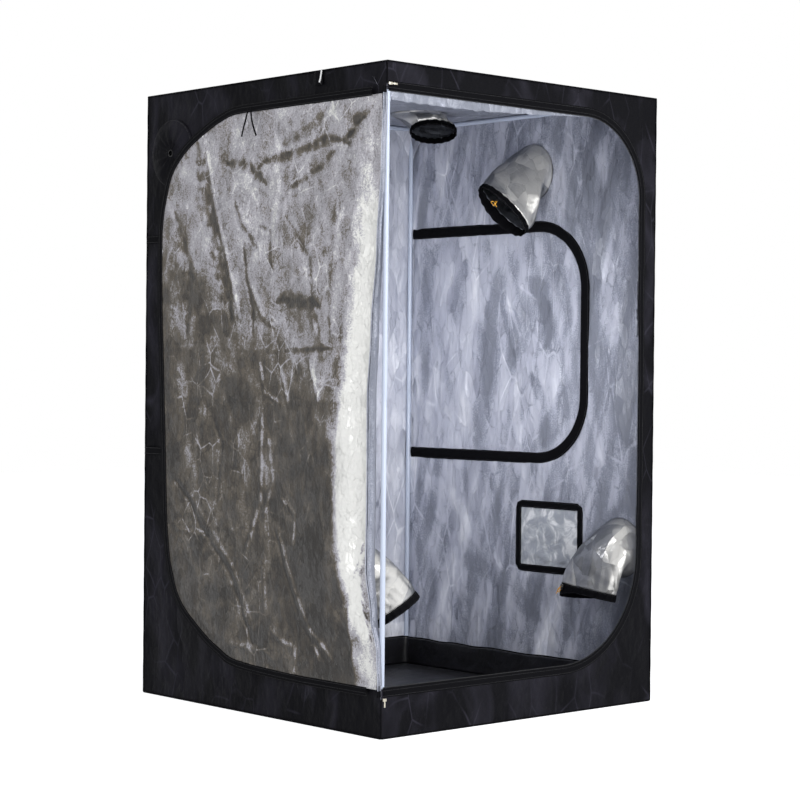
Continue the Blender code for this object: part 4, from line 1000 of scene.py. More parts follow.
def foldedFlap(u, v, share):  # crushed along its length, more at its free edge
    return 3 * mm + (1.2 + 2.2 * share) * mm * (creases(u + 0.5 * v, v - 0.5 * u, 101, 0.035, 0.035)
                                                  + 0.7 * facets(u, v, 102, 0.03))


def buildDoorwayEdge():
    path = resampled(doorwayEdge(0.0, -halfWidth + 8 * mm), 9 * mm)
    outside = wallPlace((0, -halfDepth, 0), east, up, -north)
    wave = lambda u, v, share: 0.4 * mm + 0.3 * mm * (1 + swells(u, v, 92, 0.06, 0.06)) * np.sin(share * math.pi)
    layTape("doorwayTape", "tent", None, path, 1.5 * mm, -doorway["tape"], outside, wave, 0.8 * mm, 5)
    # the teeth stand in the opening, so that the closed door clears them
    for kind, shift, height in (("stitches", -6, 0.6), ("stitches", -22, 0.6), ("zipTeeth", 2.2, -1.6)):
        addRowBeside(kind, "tent", path, shift * mm, outside, height * mm, -north)
    top = [p for p in doorwayEdge(0.0, -halfWidth + 26 * mm) if p[1] > 1.2]
    path = resampled([(doorway["right"], 1.3)] + top, 6 * mm)
    along = np.linspace(0, 1, len(path))
    wide = 1 * mm + lightFlap["width"] * smoothAll(along, 0.44, 0.84)
    wide += lightFlap["swell"] * smoothAll(along, 0.45, 0.7) * swells(path[:, 0], path[:, 1], 103, 0.03, 0.03)
    behind = wallPlace((0, -halfDepth + cloth + gap, 0), east, up, north)
    # painted shade: the flap is darkened all over, besides its painted light by how it faces
    flap = ribbonMesh("lightFlap", path, -lightFlap["under"], wide, behind, foldedFlap, lightFlap["thickness"], 10,
                      lean=(0.5, 0, 0.8), twoSided=True, tone=-0.45)
    piece = finishPiece("lightFlap", flap, "tent", ("front_light_flap",), "silver_laminate", filmLining, filmLining)


hinge = {"cord": 2.5 * mm, "welts": ((0.0, 1.8 * mm), (7 * mm, 1.5 * mm)), "hemReach": 19 * mm, "hem": 0.7 * mm}


def buildHingeSeams():  # corded seams that hold the door at the corner
    for name in ("front_door_seam_upper", "front_door_seam_lower"):
        start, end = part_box(name)
        middle = (start + end) / 2
        heights = np.linspace(start.z, end.z, 15)
        radius = hinge["cord"] * (1 + 0.06 * np.sin(np.arange(15) * 2.1))
        cordX = start.x + hinge["cord"]
        cord = closedTube("seamCord", tubeRows([(cordX, middle.y, z) for z in heights], radius, 12, (1, 0, 0)))
        web = roundedBlock((end.x - cordX, 1.2 * mm, end.z - start.z), ((cordX + end.x) / 2, middle.y, middle.z),
                           None, 0.2, 2)
        finishPiece(wordsOf(name), joinedMesh(name + "Mesh", [cord, web]), "tent", (name,), "black_tape", tape)


def buildHingeWelt():  # two silver piping lines where the door's hinge side meets the post
    parts = []
    for step, radius in hinge["welts"]:
        line = [(hingeX - 1 * mm + step, hingeY + 1.5 * mm + hingeBow(z) - step * 0.3, z)
                for z in np.linspace(door["bottom"] + 20 * mm, door["top"] - 20 * mm, 140)]
        parts.append(closedTube("hingeWelt", tubeRows(line, radius, 8, (0.3, 0.7, 0.2))))
    mesh = joinedMesh("hingeWelt", parts)
    # painted light by how each point faces, darkened all over as painted shade
    storePaintedLight(mesh, (-0.3, 0.1, 0.1), -0.25)
    finishPiece("hingeWelt", mesh, "tent", (), "silver_laminate", filmLining)


def buildHingeHem():  # film turned back over the wall's bowed front edge, beside the front left post
    rows = []
    for share in np.linspace(0, 1, 9):
        row = []
        for z in np.linspace(doorway["sill"] + 10 * mm, doorway["top"] - 10 * mm, 150):
            level = hingeBow(z) / doorway["bow"]
            reach = 3 * mm + hinge["hemReach"] * level
            curl = 1.5 * mm * noise.noise((z * 9, share * 2, 151)) + 1.2 * mm * math.sin(share * math.pi * 2)
            x = -halfWidth - 10 * mm + (10 * mm + reach) * share
            y = -seam + hingeBow(z) - (3 + 4 * math.sin(share * math.pi)) * mm * (0.4 + 0.6 * level) + curl * level
            row.append((x, max(y, -halfDepth + 1 * mm), z))
        rows.append(row)
    mesh = gridMesh("hingeHem", rows)
    faceOut(mesh, -north)
    # painted light by how each point faces, darkened all over as painted shade
    storePaintedLight(mesh, (-0.9, 0.2, 0.3), -0.22)
    mesh = thickened("hingeHem", mesh, hinge["hem"], -1.0, False)
    finishPiece("hingeHem", mesh, "tent", (), "silver_laminate", filmLining)


buildDoorwayEdge()
buildHingeSeams()
buildHingeWelt()
buildHingeHem()
print("doorway made")


# Side door in the right wall, with its padded band


def buildSideDoor():
    lap = sideDoor["lap"]
    outline = sideDoorEdge(lap)
    outline = [(sideDoor["hinge"], v) if index < 2 else (u, v) for index, (u, v) in enumerate(outline)]
    streaks = lambda u, v, rim: sideDoor["wrinkle"] * smoothAll(rim, 22 * mm, 70 * mm) * (
        1.3 * facets(u + 0.1 * v, v * 0.35, 61, 0.2, 4) + 0.7 * facets(u - 0.3 * v, v * 0.3, 64, 0.13, 3)
        + 0.4 * facets(u, v * 0.5, 62, 0.08, 3)
        + 0.8 * swells(u, v, 63, 0.25, 0.6))
    # painted light as on the right wall, a little brighter towards the rear
    tone = lambda u, v: rightWallTone(u, v) + 0.05 * smoothAll(u, 0.1, 0.4)
    mesh = clothMesh("sideDoor", outline, [], 9 * mm, rightOutside, streaks, 0.8 * mm, (0, 3.2, 1.0), tone)
    panel = finishPiece("sideDoor", mesh, "side_door_leaf", ("side_door",), "silver_laminate", filmLining,
                        oxfordCloth)
    corners = sideDoorEdge(0.0)
    path = resampled([corners[1]] + corners[2:] + [corners[0]], 8 * mm)
    pinch = 1.2 * mm * swells(path[:, 0], path[:, 1], 66, 0.035, 0.035)
    dome = lambda u, v, share: (0.8 * mm + 5 * mm * np.sqrt(np.clip(np.sin(share * math.pi), 0, 1))
                                * (1 + 0.35 * swells(u, v, 67, 0.03, 0.03)))
    layTape("sideDoorBand", "tent", "side_door_band", path, -1 * mm + pinch, -sideDoor["band"] + pinch * 0.7,
            rightFace, dome, 0.6 * mm, 12)
    corners = sideDoorEdge(lap)
    loop = resampled([corners[1]] + corners[2:] + [corners[0]], 9 * mm)
    layTape("sideDoorTape", "side_door_leaf", None, loop, 0.0, sideDoor["tape"], rightOuter, flatRelief(0.5 * mm),
            1.0 * mm, 4)
    for kind, shift, height in (("stitches", 5, 0.7), ("stitches", 19, 0.7), ("zipTeeth", 1.5, 0.3)):
        addRowBeside(kind, "side_door_leaf", loop, shift * mm, rightOuter, height * mm, east)
    for shift in (-4 * mm, -36 * mm):
        addRowBeside("stitches", "tent", path, shift, rightFace, 4.0 * mm, west)


# Window in the right wall: clear film, black frame, cover flap outside


def buildWindow():
    film = lambda u, v, rim: 0.4 * mm + window["crinkle"] * smoothAll(rim, 12 * mm, 45 * mm) * (
        0.4 + 0.8 * creases(u, v, 111, 0.09, 0.09) + 0.5 * facets(u, v, 112, 0.06))
    mesh = clothMesh("windowFilm", windowHole(12 * mm), [], 5 * mm, rightFace, film, 0.4 * mm)
    pane = finishPiece("windowFilm", mesh, "tent", ("window_film",), "clear_film", vinyl, vinyl)
    path = resampled(windowHole(0.0, 2 * mm), 5 * mm, True)
    wave = lambda u, v, share: (3.2 + 1.2 * np.sin(share * math.pi) + 0.5 * swells(u, v, 113, 0.03, 0.03)) * mm
    layTape("windowFrame", "tent", "window_frame", path, 0.8 * mm * swells(path[:, 0], path[:, 1], 114, 0.02, 0.02),
            -window["border"], rightFace, wave, 1.4 * mm, 5, True)
    for shift in (-4 * mm, -21 * mm):
        addRowBeside("stitches", "tent", path, shift, rightFace, 3.9 * mm, west, True)
    low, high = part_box("window_flap")
    outline = roundedBox(low.y, high.y, low.z, high.z, 6 * mm)
    ease = lambda u, v, rim: -1.5 * mm * smoothAll(rim, 10 * mm, 60 * mm) * (1 + swells(u, v, 116, 0.07, 0.07))
    # painted light on its film side, by how each point faces and a little brighter all over
    mesh = clothMesh("windowFlap", outline, [], 8 * mm, rightOutside, ease, 0.8 * mm, (0, 1, 0.5),
                     lambda u, v: 0 * u + 0.12)
    flap = finishPiece("windowFlap", mesh, "window_flap_leaf", ("window_flap",), "black_oxford_cloth", filmLining,
                       oxfordCloth)
    loop = resampled(outline, 8 * mm, True)
    layTape("windowFlapHem", "window_flap_leaf", None, loop, 0.0, window["hem"], rightOuter, flatRelief(0.5 * mm),
            1.0 * mm, 3, True)
    addRowBeside("stitches", "window_flap_leaf", loop, 12 * mm, rightOuter, 0.7 * mm, east, True)


buildSideDoor()
buildWindow()
print("side door and window made")


# Duct sleeves: gathered tubes that hang inside the tent, each with a black cuff

sleeve = {"around": 84, "along": 46, "cloth": 0.8 * mm, "wrinkle": 3.2 * mm, "cuff": 25 * mm,
          "sag": 24 * mm, "ripple": 1.7 * mm, "inset": 2.1 * mm}
insideRight, underRoof = halfWidth - sleeve["inset"], tentHeight - sleeve["inset"]
# a sleeve's tone is painted shade on its film
sleeves = [
    {"name": "right_upper", "lock": True, "start": (insideRight, *ports["rightUpper"]), "ways": (west, north, -up),
     "mouth": (1.5, -0.2, 1.3), "facing": (1.0, -0.08, 0.73), "wide": (0.5, 0.46, -0.74), "flat": (1.1, 0.4),
     "curl": 0.8, "seed": 3, "slack": (0.1, 0.8, -0.6)},
    {"name": "right_lower", "lock": True, "start": (insideRight, *ports["rightLower"]), "ways": (west, north, -up),
     "mouth": (1.0, 0.45, 1.35), "facing": (0.12, 0.1, 0.95), "wide": (0.05, 0.99, -0.1), "flat": (1.15, 0.3),
     "curl": 0.75, "seed": 5, "slack": (0.7, 0.7, 0.0)},
    {"name": "left_lower", "start": (-insideRight, *ports["leftLower"]), "ways": (east, -north, -up),
     "mouth": (1.78, 0.3, 1.3), "facing": (0.5, 0.3, 0.8), "wide": (0.6, 0.5, -0.56), "flat": (0.8, 0.5),
     "curl": 0.8, "seed": 7, "tone": -0.3},
    {"name": "left_upper", "start": (-insideRight, *ports["leftUpper"]), "ways": (east, -north, -up),
     "mouth": (1.2, 0.1, 1.4), "facing": (0.25, 0.0, 0.94), "wide": (0.0, 1.0, 0.0), "flat": (1.1, 0.4),
     "curl": 0.75, "seed": 9},
    {"name": "roof", "start": (*ports["roof"], underRoof), "ways": (-up, east, -north),
     "mouth": (0.5, 0.5, 0.24), "facing": (0.8, -0.37, 0.41), "wide": (0.0, 0.74, 0.67), "flat": (0.8, 0.5),
     "curl": 0.2, "seed": 11}]


def along(ways, shares):
    return ways[0] * shares[0] + ways[1] * shares[1] + ways[2] * shares[2]


def facingOf(item):
    return along(item["ways"], item["facing"]).normalized()


def sleeveFrame(item, share):  # middle, wide and deep ways, half sizes and heading at a share of the length
    radius, start = ports["radius"], Vector(item["start"])
    mouth = start + along(item["ways"], item["mouth"]) * radius
    facing = facingOf(item)
    pull = radius * item["curl"]
    stops = (start, start + item["ways"][0] * pull, mouth - facing * pull, mouth)
    weights = ((1 - share) ** 3, 3 * share * (1 - share) ** 2, 3 * share ** 2 * (1 - share), share ** 3)
    middle = sum((stop * weight for stop, weight in zip(stops, weights)), Vector())
    ease = smooth(share)
    heading = item["ways"][0].lerp(facing, ease).normalized()
    wide = item["ways"][1].lerp(along(item["ways"], item["wide"]).normalized(), share)
    wide = (wide - heading * wide.dot(heading)).normalized()
    halfWide = radius * (1 + (item["flat"][0] - 1) * ease)
    halfDeep = radius * (1 + (item["flat"][1] - 1) * (1 - (1 - share) ** 2))
    return middle, wide, heading.cross(wide).normalized(), halfWide, halfDeep, heading


def sleeveRings(item, first, last, count, swell, wrinkle):  # swell adds to the half sizes
    rings = []
    for share in np.linspace(first, last, count):
        middle, wide, deep, halfWide, halfDeep, heading = sleeveFrame(item, min(share, 1.0))
        middle = middle + heading * max(share - 1, 0)
        ring = []
        for k in range(sleeve["around"]):
            turn = 2 * math.pi * k / sleeve["around"]
            away = swell + wrinkle(turn, share)
            ring.append(middle + wide * ((halfWide + away) * math.cos(turn))
                        + deep * ((halfDeep + away) * math.sin(turn)))
        rings.append([tuple(p) for p in ring])
    return rings


def sleeveWrinkle(item):
    seed = item["seed"]

    def wrinkle(turn, share):
        x, y = math.cos(turn), math.sin(turn)
        rim = smooth(share, 0.0, 0.12) * smooth(1.04 - share, 0.0, 0.15)
        length = 0.6 - 2.4 * abs(noise.noise((x * 1.1, y * 1.1, share * 1.1 + seed)))
        cross = 0.5 - 2.0 * abs(noise.noise((x * 0.9, y * 0.9, share * 3.4 + seed + 4)))
        fine = 0.4 - 1.4 * abs(noise.noise((x * 2.4, y * 2.4, share * 3.0 + seed + 8)))
        gathered = math.sin(turn * 17 + 3 * noise.noise((x, y, seed))) * smooth(share, 0.55, 0.95)
        return sleeve["wrinkle"] * rim * (1.2 * length + cross + 0.4 * fine + 0.3 * gathered)
    return wrinkle


def buildSleeve(item):
    name, words = item["name"], wordsOf(item["name"])
    rings = sleeveRings(item, 0.0, 1.0, sleeve["along"], 0.9 * mm, sleeveWrinkle(item))
    mesh = gridMesh(name + "Sleeve", rings, closedAcross=True)
    middleLine = np.array(rings).mean(axis=1)
    centres = middleLine.repeat(sleeve["around"], axis=0)
    points = np.array(rings).reshape(-1, 3)
    normals = np.empty(len(mesh.vertices) * 3)
    mesh.vertices.foreach_get("normal", normals)
    if np.sum(normals.reshape(-1, 3) * (points - centres)) < 0:
        mesh.flip_normals()
        mesh.update()
    # painted light by how each point faces, darkened as painted shade by the sleeve's tone
    storePaintedLight(mesh, (-0.35, -0.6, 0.1), item.get("tone", -0.15))
    mesh = thickened(name + "Sleeve", mesh, sleeve["cloth"], -1.0, False)
    body = finishPiece("sleeve" + words, mesh, "tent", (name + "_sleeve",), "silver_sleeve", filmSleeve)
    buildCuff(item, words)


def buildCuff(item, words):
    seed, facing = item["seed"], facingOf(item)

    def ripple(turn, share):
        uneven = 2 * noise.noise((math.cos(turn), math.sin(turn), seed))
        return sleeve["ripple"] * math.sin(turn * 19 + seed + uneven)
    rounded = [0.6, 0.15, 0.0, 0.05, 0.1, 0.05, 0.0, 0.2, 0.7]
    outer, inner = (np.array(sleeveRings(item, 1.0 + 0.3 * mm, 1.0 + sleeve["cuff"], len(rounded), swell, ripple))
                    for swell in (2.2 * mm, -1.2 * mm))
    middle, heading = outer.mean(axis=(0, 1)), np.array(facing)
    slack = np.array(item.get("slack", (0, 0, 0)), float)  # the side of the cuff that hangs lower
    for rows in (outer, inner):
        away = (rows[0] - middle) @ slack
        sag = sleeve["sag"] * np.clip(away / max(np.abs(away).max(), 1e-6), 0, 1) if slack.any() else 0 * away
        rows += (np.linspace(0, 1, len(rows))[:, None] * sag[None, :])[:, :, None] * heading
    for row, share in enumerate(rounded):
        pull = (inner[row] - outer[row]) * share * 0.5
        outer[row] += pull
        inner[row] -= pull
    mesh = closedTube("cuff", list(outer) + list(inner[::-1]), joined=True)
    finishPiece("cuff" + words, mesh, "tent", (item["name"] + "_cuff",), "black_tape", tape)
    for row in (1, 7):
        addRow("stitches", "tent", outer[row] + 0.0, tuple(-along(item["ways"], item["facing"])), True)


# the lock's outline in mm along its way and across; the tails' sizes; each tail's lean aside and onward
lockShape = [(-9.6, 3.4), (-9.3, 4.6), (-8.4, 5.2), (-3.6, 5.5), (-2.6, 5.0), (-1.6, 5.5), (1.2, 5.6), (2.4, 5.3),
             (2.9, 4.2), (3.0, 3.9), (3.4, 3.8), (8.2, 3.8), (9.2, 3.2), (9.6, 1.9)]
tail = {"length": 31 * mm, "thickness": 2.4 * mm, "reach": 17 * mm, "leans": ((0.9, 0.5), (-0.8, 0.6), (0.1, 1.0))}


def cordLock(item):
    low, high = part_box(item["name"] + "_cord_lock")
    middle = (low + high) / 2
    heading = facingOf(item)
    lock = turnedTube("cordLock", middle, heading, [(a * mm, r * mm) for a, r in lockShape], 24, (0.3, 0.2, 1.0))
    finishPiece("cordLock" + wordsOf(item["name"]), lock, "tent", (item["name"] + "_cord_lock",), "lock_plastic",
                lockPlastic)
    return middle, heading


def buildTails(item):
    middle, heading = cordLock(item)
    out = middle - sleeveFrame(item, 1.0)[0] - heading * sleeve["cuff"] / 2
    out = (out - heading * out.dot(heading)).normalized()
    side, reach = heading.cross(out).normalized(), tail["reach"]
    for number, lean in enumerate(tail["leans"]):
        way = (side * lean[0] + heading * lean[1] * 0.6 + out * 0.4).normalized()
        start = middle + side * (5 * mm * (1 - number)) + heading * (2 - number) * mm + out * 1 * mm
        bend = (out * 0.4 - up * 0.6 - way * 0.3).normalized()
        line = curveThrough([start, start + way * reach * 0.5, start + way * reach * 0.85 + bend * reach * 0.45,
                             start + way * reach * 0.6 + bend * reach * 1.15], 8)
        total = sum((b - a).length for a, b in zip(line, line[1:]))
        line = [start + (p - start) * (tail["length"] / total) for p in line]
        radii = [tail["thickness"] / 2 * (1 + 0.05 * math.sin(k * 2.4)) for k in range(len(line))]
        radii[-2], radii[-1] = 1.25 * mm, 1.0 * mm
        mesh = closedTube("cordTail", tubeRows(line, radii, 10, (0.2, 0.5, 1.0)))
        piece = finishPiece("cordTail%s%d" % (wordsOf(item["name"]), number + 1), mesh, "tent", (), None, yellowCord)


outerSleeve = {"radius": 0.112, "flat": (0.24, 0.24), "depth": 11 * mm, "points": 96, "ring": 11 * mm, "profile": [
    (1.0, 0.0), (0.985, 0.3), (0.96, 0.55), (0.9, 0.78), (0.82, 0.92), (0.72, 0.98), (0.6, 1.0), (0.48, 0.98),
    (0.38, 0.92), (0.3, 0.86), (0.22, 0.9), (0.16, 1.05), (0.115, 1.15), (0.1, 0.95)]}


def buildOuterSleeve(name, place, across, upward, outward, seed):  # drawn shut by its cord, flat on the wall
    radius, depth = outerSleeve["radius"], outerSleeve["depth"]
    place, across, upward, outward = (np.array(tuple(v), float) for v in (place, across, upward, outward))

    def circle(turns, size):
        return place + size * (np.outer(np.cos(turns), across) + np.outer(np.sin(turns), upward))
    rows = []
    for share, height in outerSleeve["profile"]:
        ring = []
        for k in range(outerSleeve["points"]):
            turn = 2 * math.pi * k / outerSleeve["points"]
            x, y = math.cos(turn), math.sin(turn)
            gather = math.sin(turn * 14 + 4 * noise.noise((x, y, seed))) * (1 - share) * 2.6
            fold = 3.6 * (0.5 - abs(noise.noise((x * 2, y * 2, share * 2.5 + seed)))) * math.sin(math.pi * share)
            rough = 1.1 * gather * smooth(share, 0.06, 0.3) + 1.8 * fold
            lift = depth * height + rough * mm * smooth(1 - share, 0, 0.1)
            offset = radius * share * (x * across + y * upward)
            if outward[0] < 0:  # on the left wall the folded door presses it flat
                lift *= 1 - 0.7 * smooth(-(offset[1] + offset[2]) / radius, 0.0, 0.6)
            ring.append(place + offset + max(lift, 0.2 * mm) * outward)
        rows.append(ring)
    mesh = gridMesh(name, rows, closedAcross=True)
    faceOut(mesh, outward)
    mesh = thickened(name, mesh, 0.8 * mm, -1.0, False)
    piece = finishPiece("outer" + wordsOf(name), mesh, "tent", (name,), "black_oxford_cloth", oxfordCloth)
    seamRing = circle(np.linspace(0, 6.2, 90), radius * 0.965) + outward * depth * 0.62
    addRow("stitches", "tent", seamRing, tuple(outward), True)
    knot = circle(np.linspace(0, 6.1, 40), outerSleeve["ring"]) + outward * depth
    ringCord = closedTube("drawcord", tubeRows(knot, 1.6 * mm, 8, tuple(outward)))
    finishPiece("drawcord" + wordsOf(name), ringCord, "tent", (), "black_tape", elasticCord)


def buildPorts():
    for item in sleeves:
        buildSleeve(item)
        if "lock" in item:
            buildTails(item)
    reach, seed = halfWidth + gap, 21
    for side, x, across, outward in (("right", reach, -north, east), ("left", -reach, north, west)):
        for level in ("Upper", "Lower"):
            name = "%s_%s_outer_sleeve" % (side, level.lower())
            buildOuterSleeve(name, (x, *ports[side + level]), across, up, outward, seed)
            seed += 2
    buildOuterSleeve("roof_outer_sleeve", (*ports["roof"], tentHeight + gap), east, north, up, seed)


buildPorts()
print("sleeves made")


# Spill tray on the floor


tray = {"corner": 20 * mm, "thickness": 1.4 * mm, "side": 1.2 * mm, "wrinkle": 3.5 * mm, "lean": 4 * mm,
        "sag": 6 * mm, "hem": 2.2 * mm}


def buildTray():
    low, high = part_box("spill_tray")
    middle = (low + high) / 2
    across, deep = (high.x - low.x) / 2, (high.y - low.y) / 2
    height, thickness = high.z - low.z, tray["thickness"]
    face = wallPlace((middle.x, middle.y, low.z + thickness), east, north, up)
    base = lambda u, v, rim: tray["wrinkle"] * smoothAll(rim, 5 * mm, 60 * mm) * np.clip(
        0.7 + swells(u, v, 121, 0.16, 0.16) + 0.6 * creases(u, v, 122, 0.2, 0.2)
        + 0.4 * facets(u, v, 123, 0.14), 0, 3)
    outline = roundedBox(-across + 2 * mm, across - 2 * mm, -deep + 2 * mm, deep - 2 * mm, tray["corner"])
    flat = clothMesh("trayBase", outline, [], 16 * mm, face, base, thickness)
    loop = resampled(outline, 10 * mm, True)
    rows = []
    inward = offsetPath(loop, 1.0, True) - loop
    for share in np.linspace(0, 1, 13):
        waves = swells(loop[:, 0], loop[:, 1], 125 + share * 1.2, 0.11, 0.11)
        folds = creases(loop[:, 0], loop[:, 1], 131 + share, 0.07, 0.07)
        lean = share * (tray["lean"] * (1 + waves) + 1.5 * mm * folds) + 1.2 * mm * math.sin(share * math.pi)
        line = loop + inward * np.maximum(lean, 0.3 * mm)[:, None]
        sag = share * tray["sag"] * np.clip(0.4 - waves, 0, 1)
        rise = low.z + thickness + (height - thickness - 1 * mm) * share - sag
        rows.append(np.stack([middle.x + line[:, 0], middle.y + line[:, 1], rise], axis=1))
    side = gridMesh("traySide", rows, closedAcross=True)
    if sum(p.center.xy.dot(p.normal.xy) for p in side.polygons) > 0:
        side.flip_normals()
        side.update()
    side = thickened("traySide", side, tray["side"], 1.0, False)
    mesh = joinedMesh("spillTray", [flat, side])
    mesh.shade_smooth()
    piece = finishPiece("spillTray", mesh, "tent", ("spill_tray",), "black_tray_cloth", coatedCloth)
    rim = np.concatenate((rows[-1], rows[-1][:1])) - (0, 0, 0.5 * mm)
    finishPiece("trayHem", closedTube("trayHem", tubeRows(rim, tray["hem"], 8, up)), "tent", (), "black_tape", tape)


# Poles: tubes with a swaged joint and a spring button


# in mm: the tube's radius, the sleeve of its joint, and how far the spring button lies above the joint
pole = {"radius": 8.0, "joint": 34, "button": 16}
buttonShape = [(7.6 * mm, 2.6 * mm), (8.3 * mm, 2.5 * mm), (8.9 * mm, 1.9 * mm), (9.1 * mm, 0.9 * mm)]


def poleProfile(length):  # places along the tube and radii, with the swaged joint half way
    half, end, r, joint = length / 2 / mm, length / mm, pole["radius"], pole["joint"]
    return [(place * mm, radius * mm) for place, radius in (
        (0, r - 0.8), (0.6, r - 0.1), (1.6, r), (half - joint, r), (half - joint + 2, r - 0.25),
        (half - 0.8, r - 0.25), (half - 0.4, r - 0.7), (half + 0.2, r - 0.7), (half + 0.5, r - 0.1),
        (half + 1.2, r), (end - 1.6, r), (end - 0.6, r - 0.1), (end, r - 0.8))]


def buildPoles():
    for name in sorted(nodes):
        if not name.startswith(("post", "base_rail", "top_rail")):
            continue
        low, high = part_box(name)
        size = high - low
        axis = max(range(3), key=lambda k: size[k])
        middle, way = (low + high) / 2, Vector([float(k == axis) for k in range(3)])
        start = middle - way * size[axis] / 2
        inwards = Vector((-middle.x, -middle.y, 0))
        inwards = (inwards - way * inwards.dot(way)).normalized()
        spot = start + way * (size[axis] / 2 + pole["button"] * mm)
        tilts = ((1, 0.1, 0), (0, 0.1, 1)) if axis == 2 else ((0.1, 0.2, 1.0),) * 2
        mesh = joinedMesh(name, [turnedTube(name, start, way, poleProfile(size[axis]), 32, tilts[0]),
                                 turnedTube("button", spot, inwards, buttonShape, 14, tilts[1])])
        shade(mesh)
        finishPiece("pole" + wordsOf(name), mesh, "tent", (name,), "white_painted_steel", polePaint)
    for name, node in nodes.items():
        if name.startswith(("foot", "top_corner")):
            node.data.materials.clear()
            node.data.materials.append(polePaint)


def shade(mesh, angle=35):
    mesh.shade_smooth()
    shape = bmesh.new()
    shape.from_mesh(mesh)
    for edge in shape.edges:
        if len(edge.link_faces) == 2:
            edge.smooth = edge.calc_face_angle() < math.radians(angle)
    shape.to_mesh(mesh)
    shape.free()


# Piping along the tent's edges, and a patch of film in each top corner


piping = {"radius": 2.2 * mm, "step": 14 * mm, "wobble": 0.5 * mm}


def pipe(*points):
    line = resampled(list(points), piping["step"])
    wobble = piping["wobble"] * np.sin(np.arange(len(line)) * 0.9)
    line = line + np.stack([wobble, -wobble, 0 * wobble], axis=1) * 0.4
    return closedTube("edge", tubeRows(line, piping["radius"], 8, (0.3, 0.7, 0.2)))


def buildPiping():
    w, d, low, high = halfWidth - 0.5 * mm, halfDepth - 0.5 * mm, 4 * mm, tentHeight - 0.5 * mm
    parts = [pipe((x, y, low), (x, y, high)) for x, y in ((w, d), (-w, d), (w, -d))]
    parts += [pipe((-w, -d, low), (-w, -d, doorway["sill"] - 32 * mm)),
              pipe((-w, -d, doorway["top"] + 18 * mm), (-w, -d, high))]
    for z in (low, high):
        corners = [(-w, -d, z), (w, -d, z), (w, d, z), (-w, d, z)]
        parts += [pipe(a, b) for a, b in zip(corners, corners[1:] + corners[:1])]
    mesh = joinedMesh("edgePiping", parts)
    mesh.shade_smooth()
    finishPiece("edgePiping", mesh, "tent", (), "black_tape", tape)


patch = {"reach": 85 * mm, "tip": 11 * mm, "drop": 120 * mm, "hollow": 30 * mm, "thickness": 0.7 * mm}


def buildCornerPatches():
    inX, inY, top = halfWidth - 3.2 * mm, halfDepth - 3.2 * mm, tentHeight - 3.5 * mm
    parts = []
    for sx, sy in ((1, 1), (-1, 1), (1, -1), (-1, -1)):
        rows = []
        for level in np.linspace(0, 1, 14):  # a V that hangs from the roof and narrows down the post
            reach = patch["reach"] * (1 - level) ** 1.3 + patch["tip"]
            hollow = (patch["hollow"] * (1 - level) + 12 * mm) * 0.42
            row = []
            for t in np.linspace(-1, 1, 17):
                away = abs(t)
                x = inX - (reach * max(t, 0) + hollow * (1 - away))
                y = inY - (reach * max(-t, 0) + hollow * (1 - away))
                z = top - patch["drop"] * level - 3 * mm * (1 - away) * level
                row.append((sx * x, sy * y, z))
            rows.append(row)
        mesh = gridMesh("patch", rows)
        faceOut(mesh, (-sx, -sy, 0))
        # painted light by how each point faces
        storePaintedLight(mesh, (0.3, -0.3, 0))
        parts.append(thickened("patch", mesh, patch["thickness"], -1.0, False))
    mesh = joinedMesh("cornerPatches", parts)
    mesh.shade_smooth()
    finishPiece("cornerPatches", mesh, "tent", (), "silver_laminate", filmLining)


# Webbing, strap loop and zip sliders


webbing = {"thickness": 1.4 * mm, "swell": 1.0 * mm, "stitchInset": 3 * mm, "stripe": 3.2 * mm}


def buildWebbing():
    outside = wallPlace((-halfWidth - gap, 0, 0), north, up, west)
    thickness, inset, stitchX = webbing["thickness"], webbing["stitchInset"], -halfWidth - 4.4 * mm

    def wave(u, v, share):
        return thickness + webbing["swell"] * (1 + swells(u, v, 141, 0.08, 0.08))

    def webStrip(name, node, line, half):
        layTape(name, "tent", node, resampled(line, 8 * mm), -half, half, outside, wave, thickness, 4)
    for name in ("wall_webbing_upper", "wall_webbing_lower"):
        low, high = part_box(name)
        level, half = (low.z + high.z) / 2, (high.z - low.z) / 2
        webStrip(wordsOf(name), name, [(low.y, level), (high.y, level)], half)
        for shift in (-half + inset, half - inset):
            addRow("stitches", "tent", [(stitchX, y, level + shift) for y in np.linspace(low.y, high.y, 9)], west)
    low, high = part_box("strap_loop")
    middle, half = (low.y + high.y) / 2, (high.y - low.y) / 2
    webStrip("strapLoop", "strap_loop", [(middle, high.z), (middle, low.z)], half)
    for share in (-0.8, 0.8):
        addRow("stitches", "tent", [(stitchX, middle + half * share, z)
                                    for z in np.linspace(low.z + inset, high.z - inset, 5)], west)
    outer = wallPlace((-halfWidth - 3.2 * mm, 0, 0), north, up, west)
    stripe = [(middle - half + a * mm, high.z - b * mm) for a, b in ((3, 1), (8, 24), (13, 37))]
    layTape("strapStripe", "tent", None, resampled(stripe, 5 * mm), -webbing["stripe"], webbing["stripe"], outer,
            flatRelief(2.2 * mm), 0.8 * mm, 2, paint=whiteCloth)


slider = {"body": 13.6 * mm, "pull": 22.5 * mm}


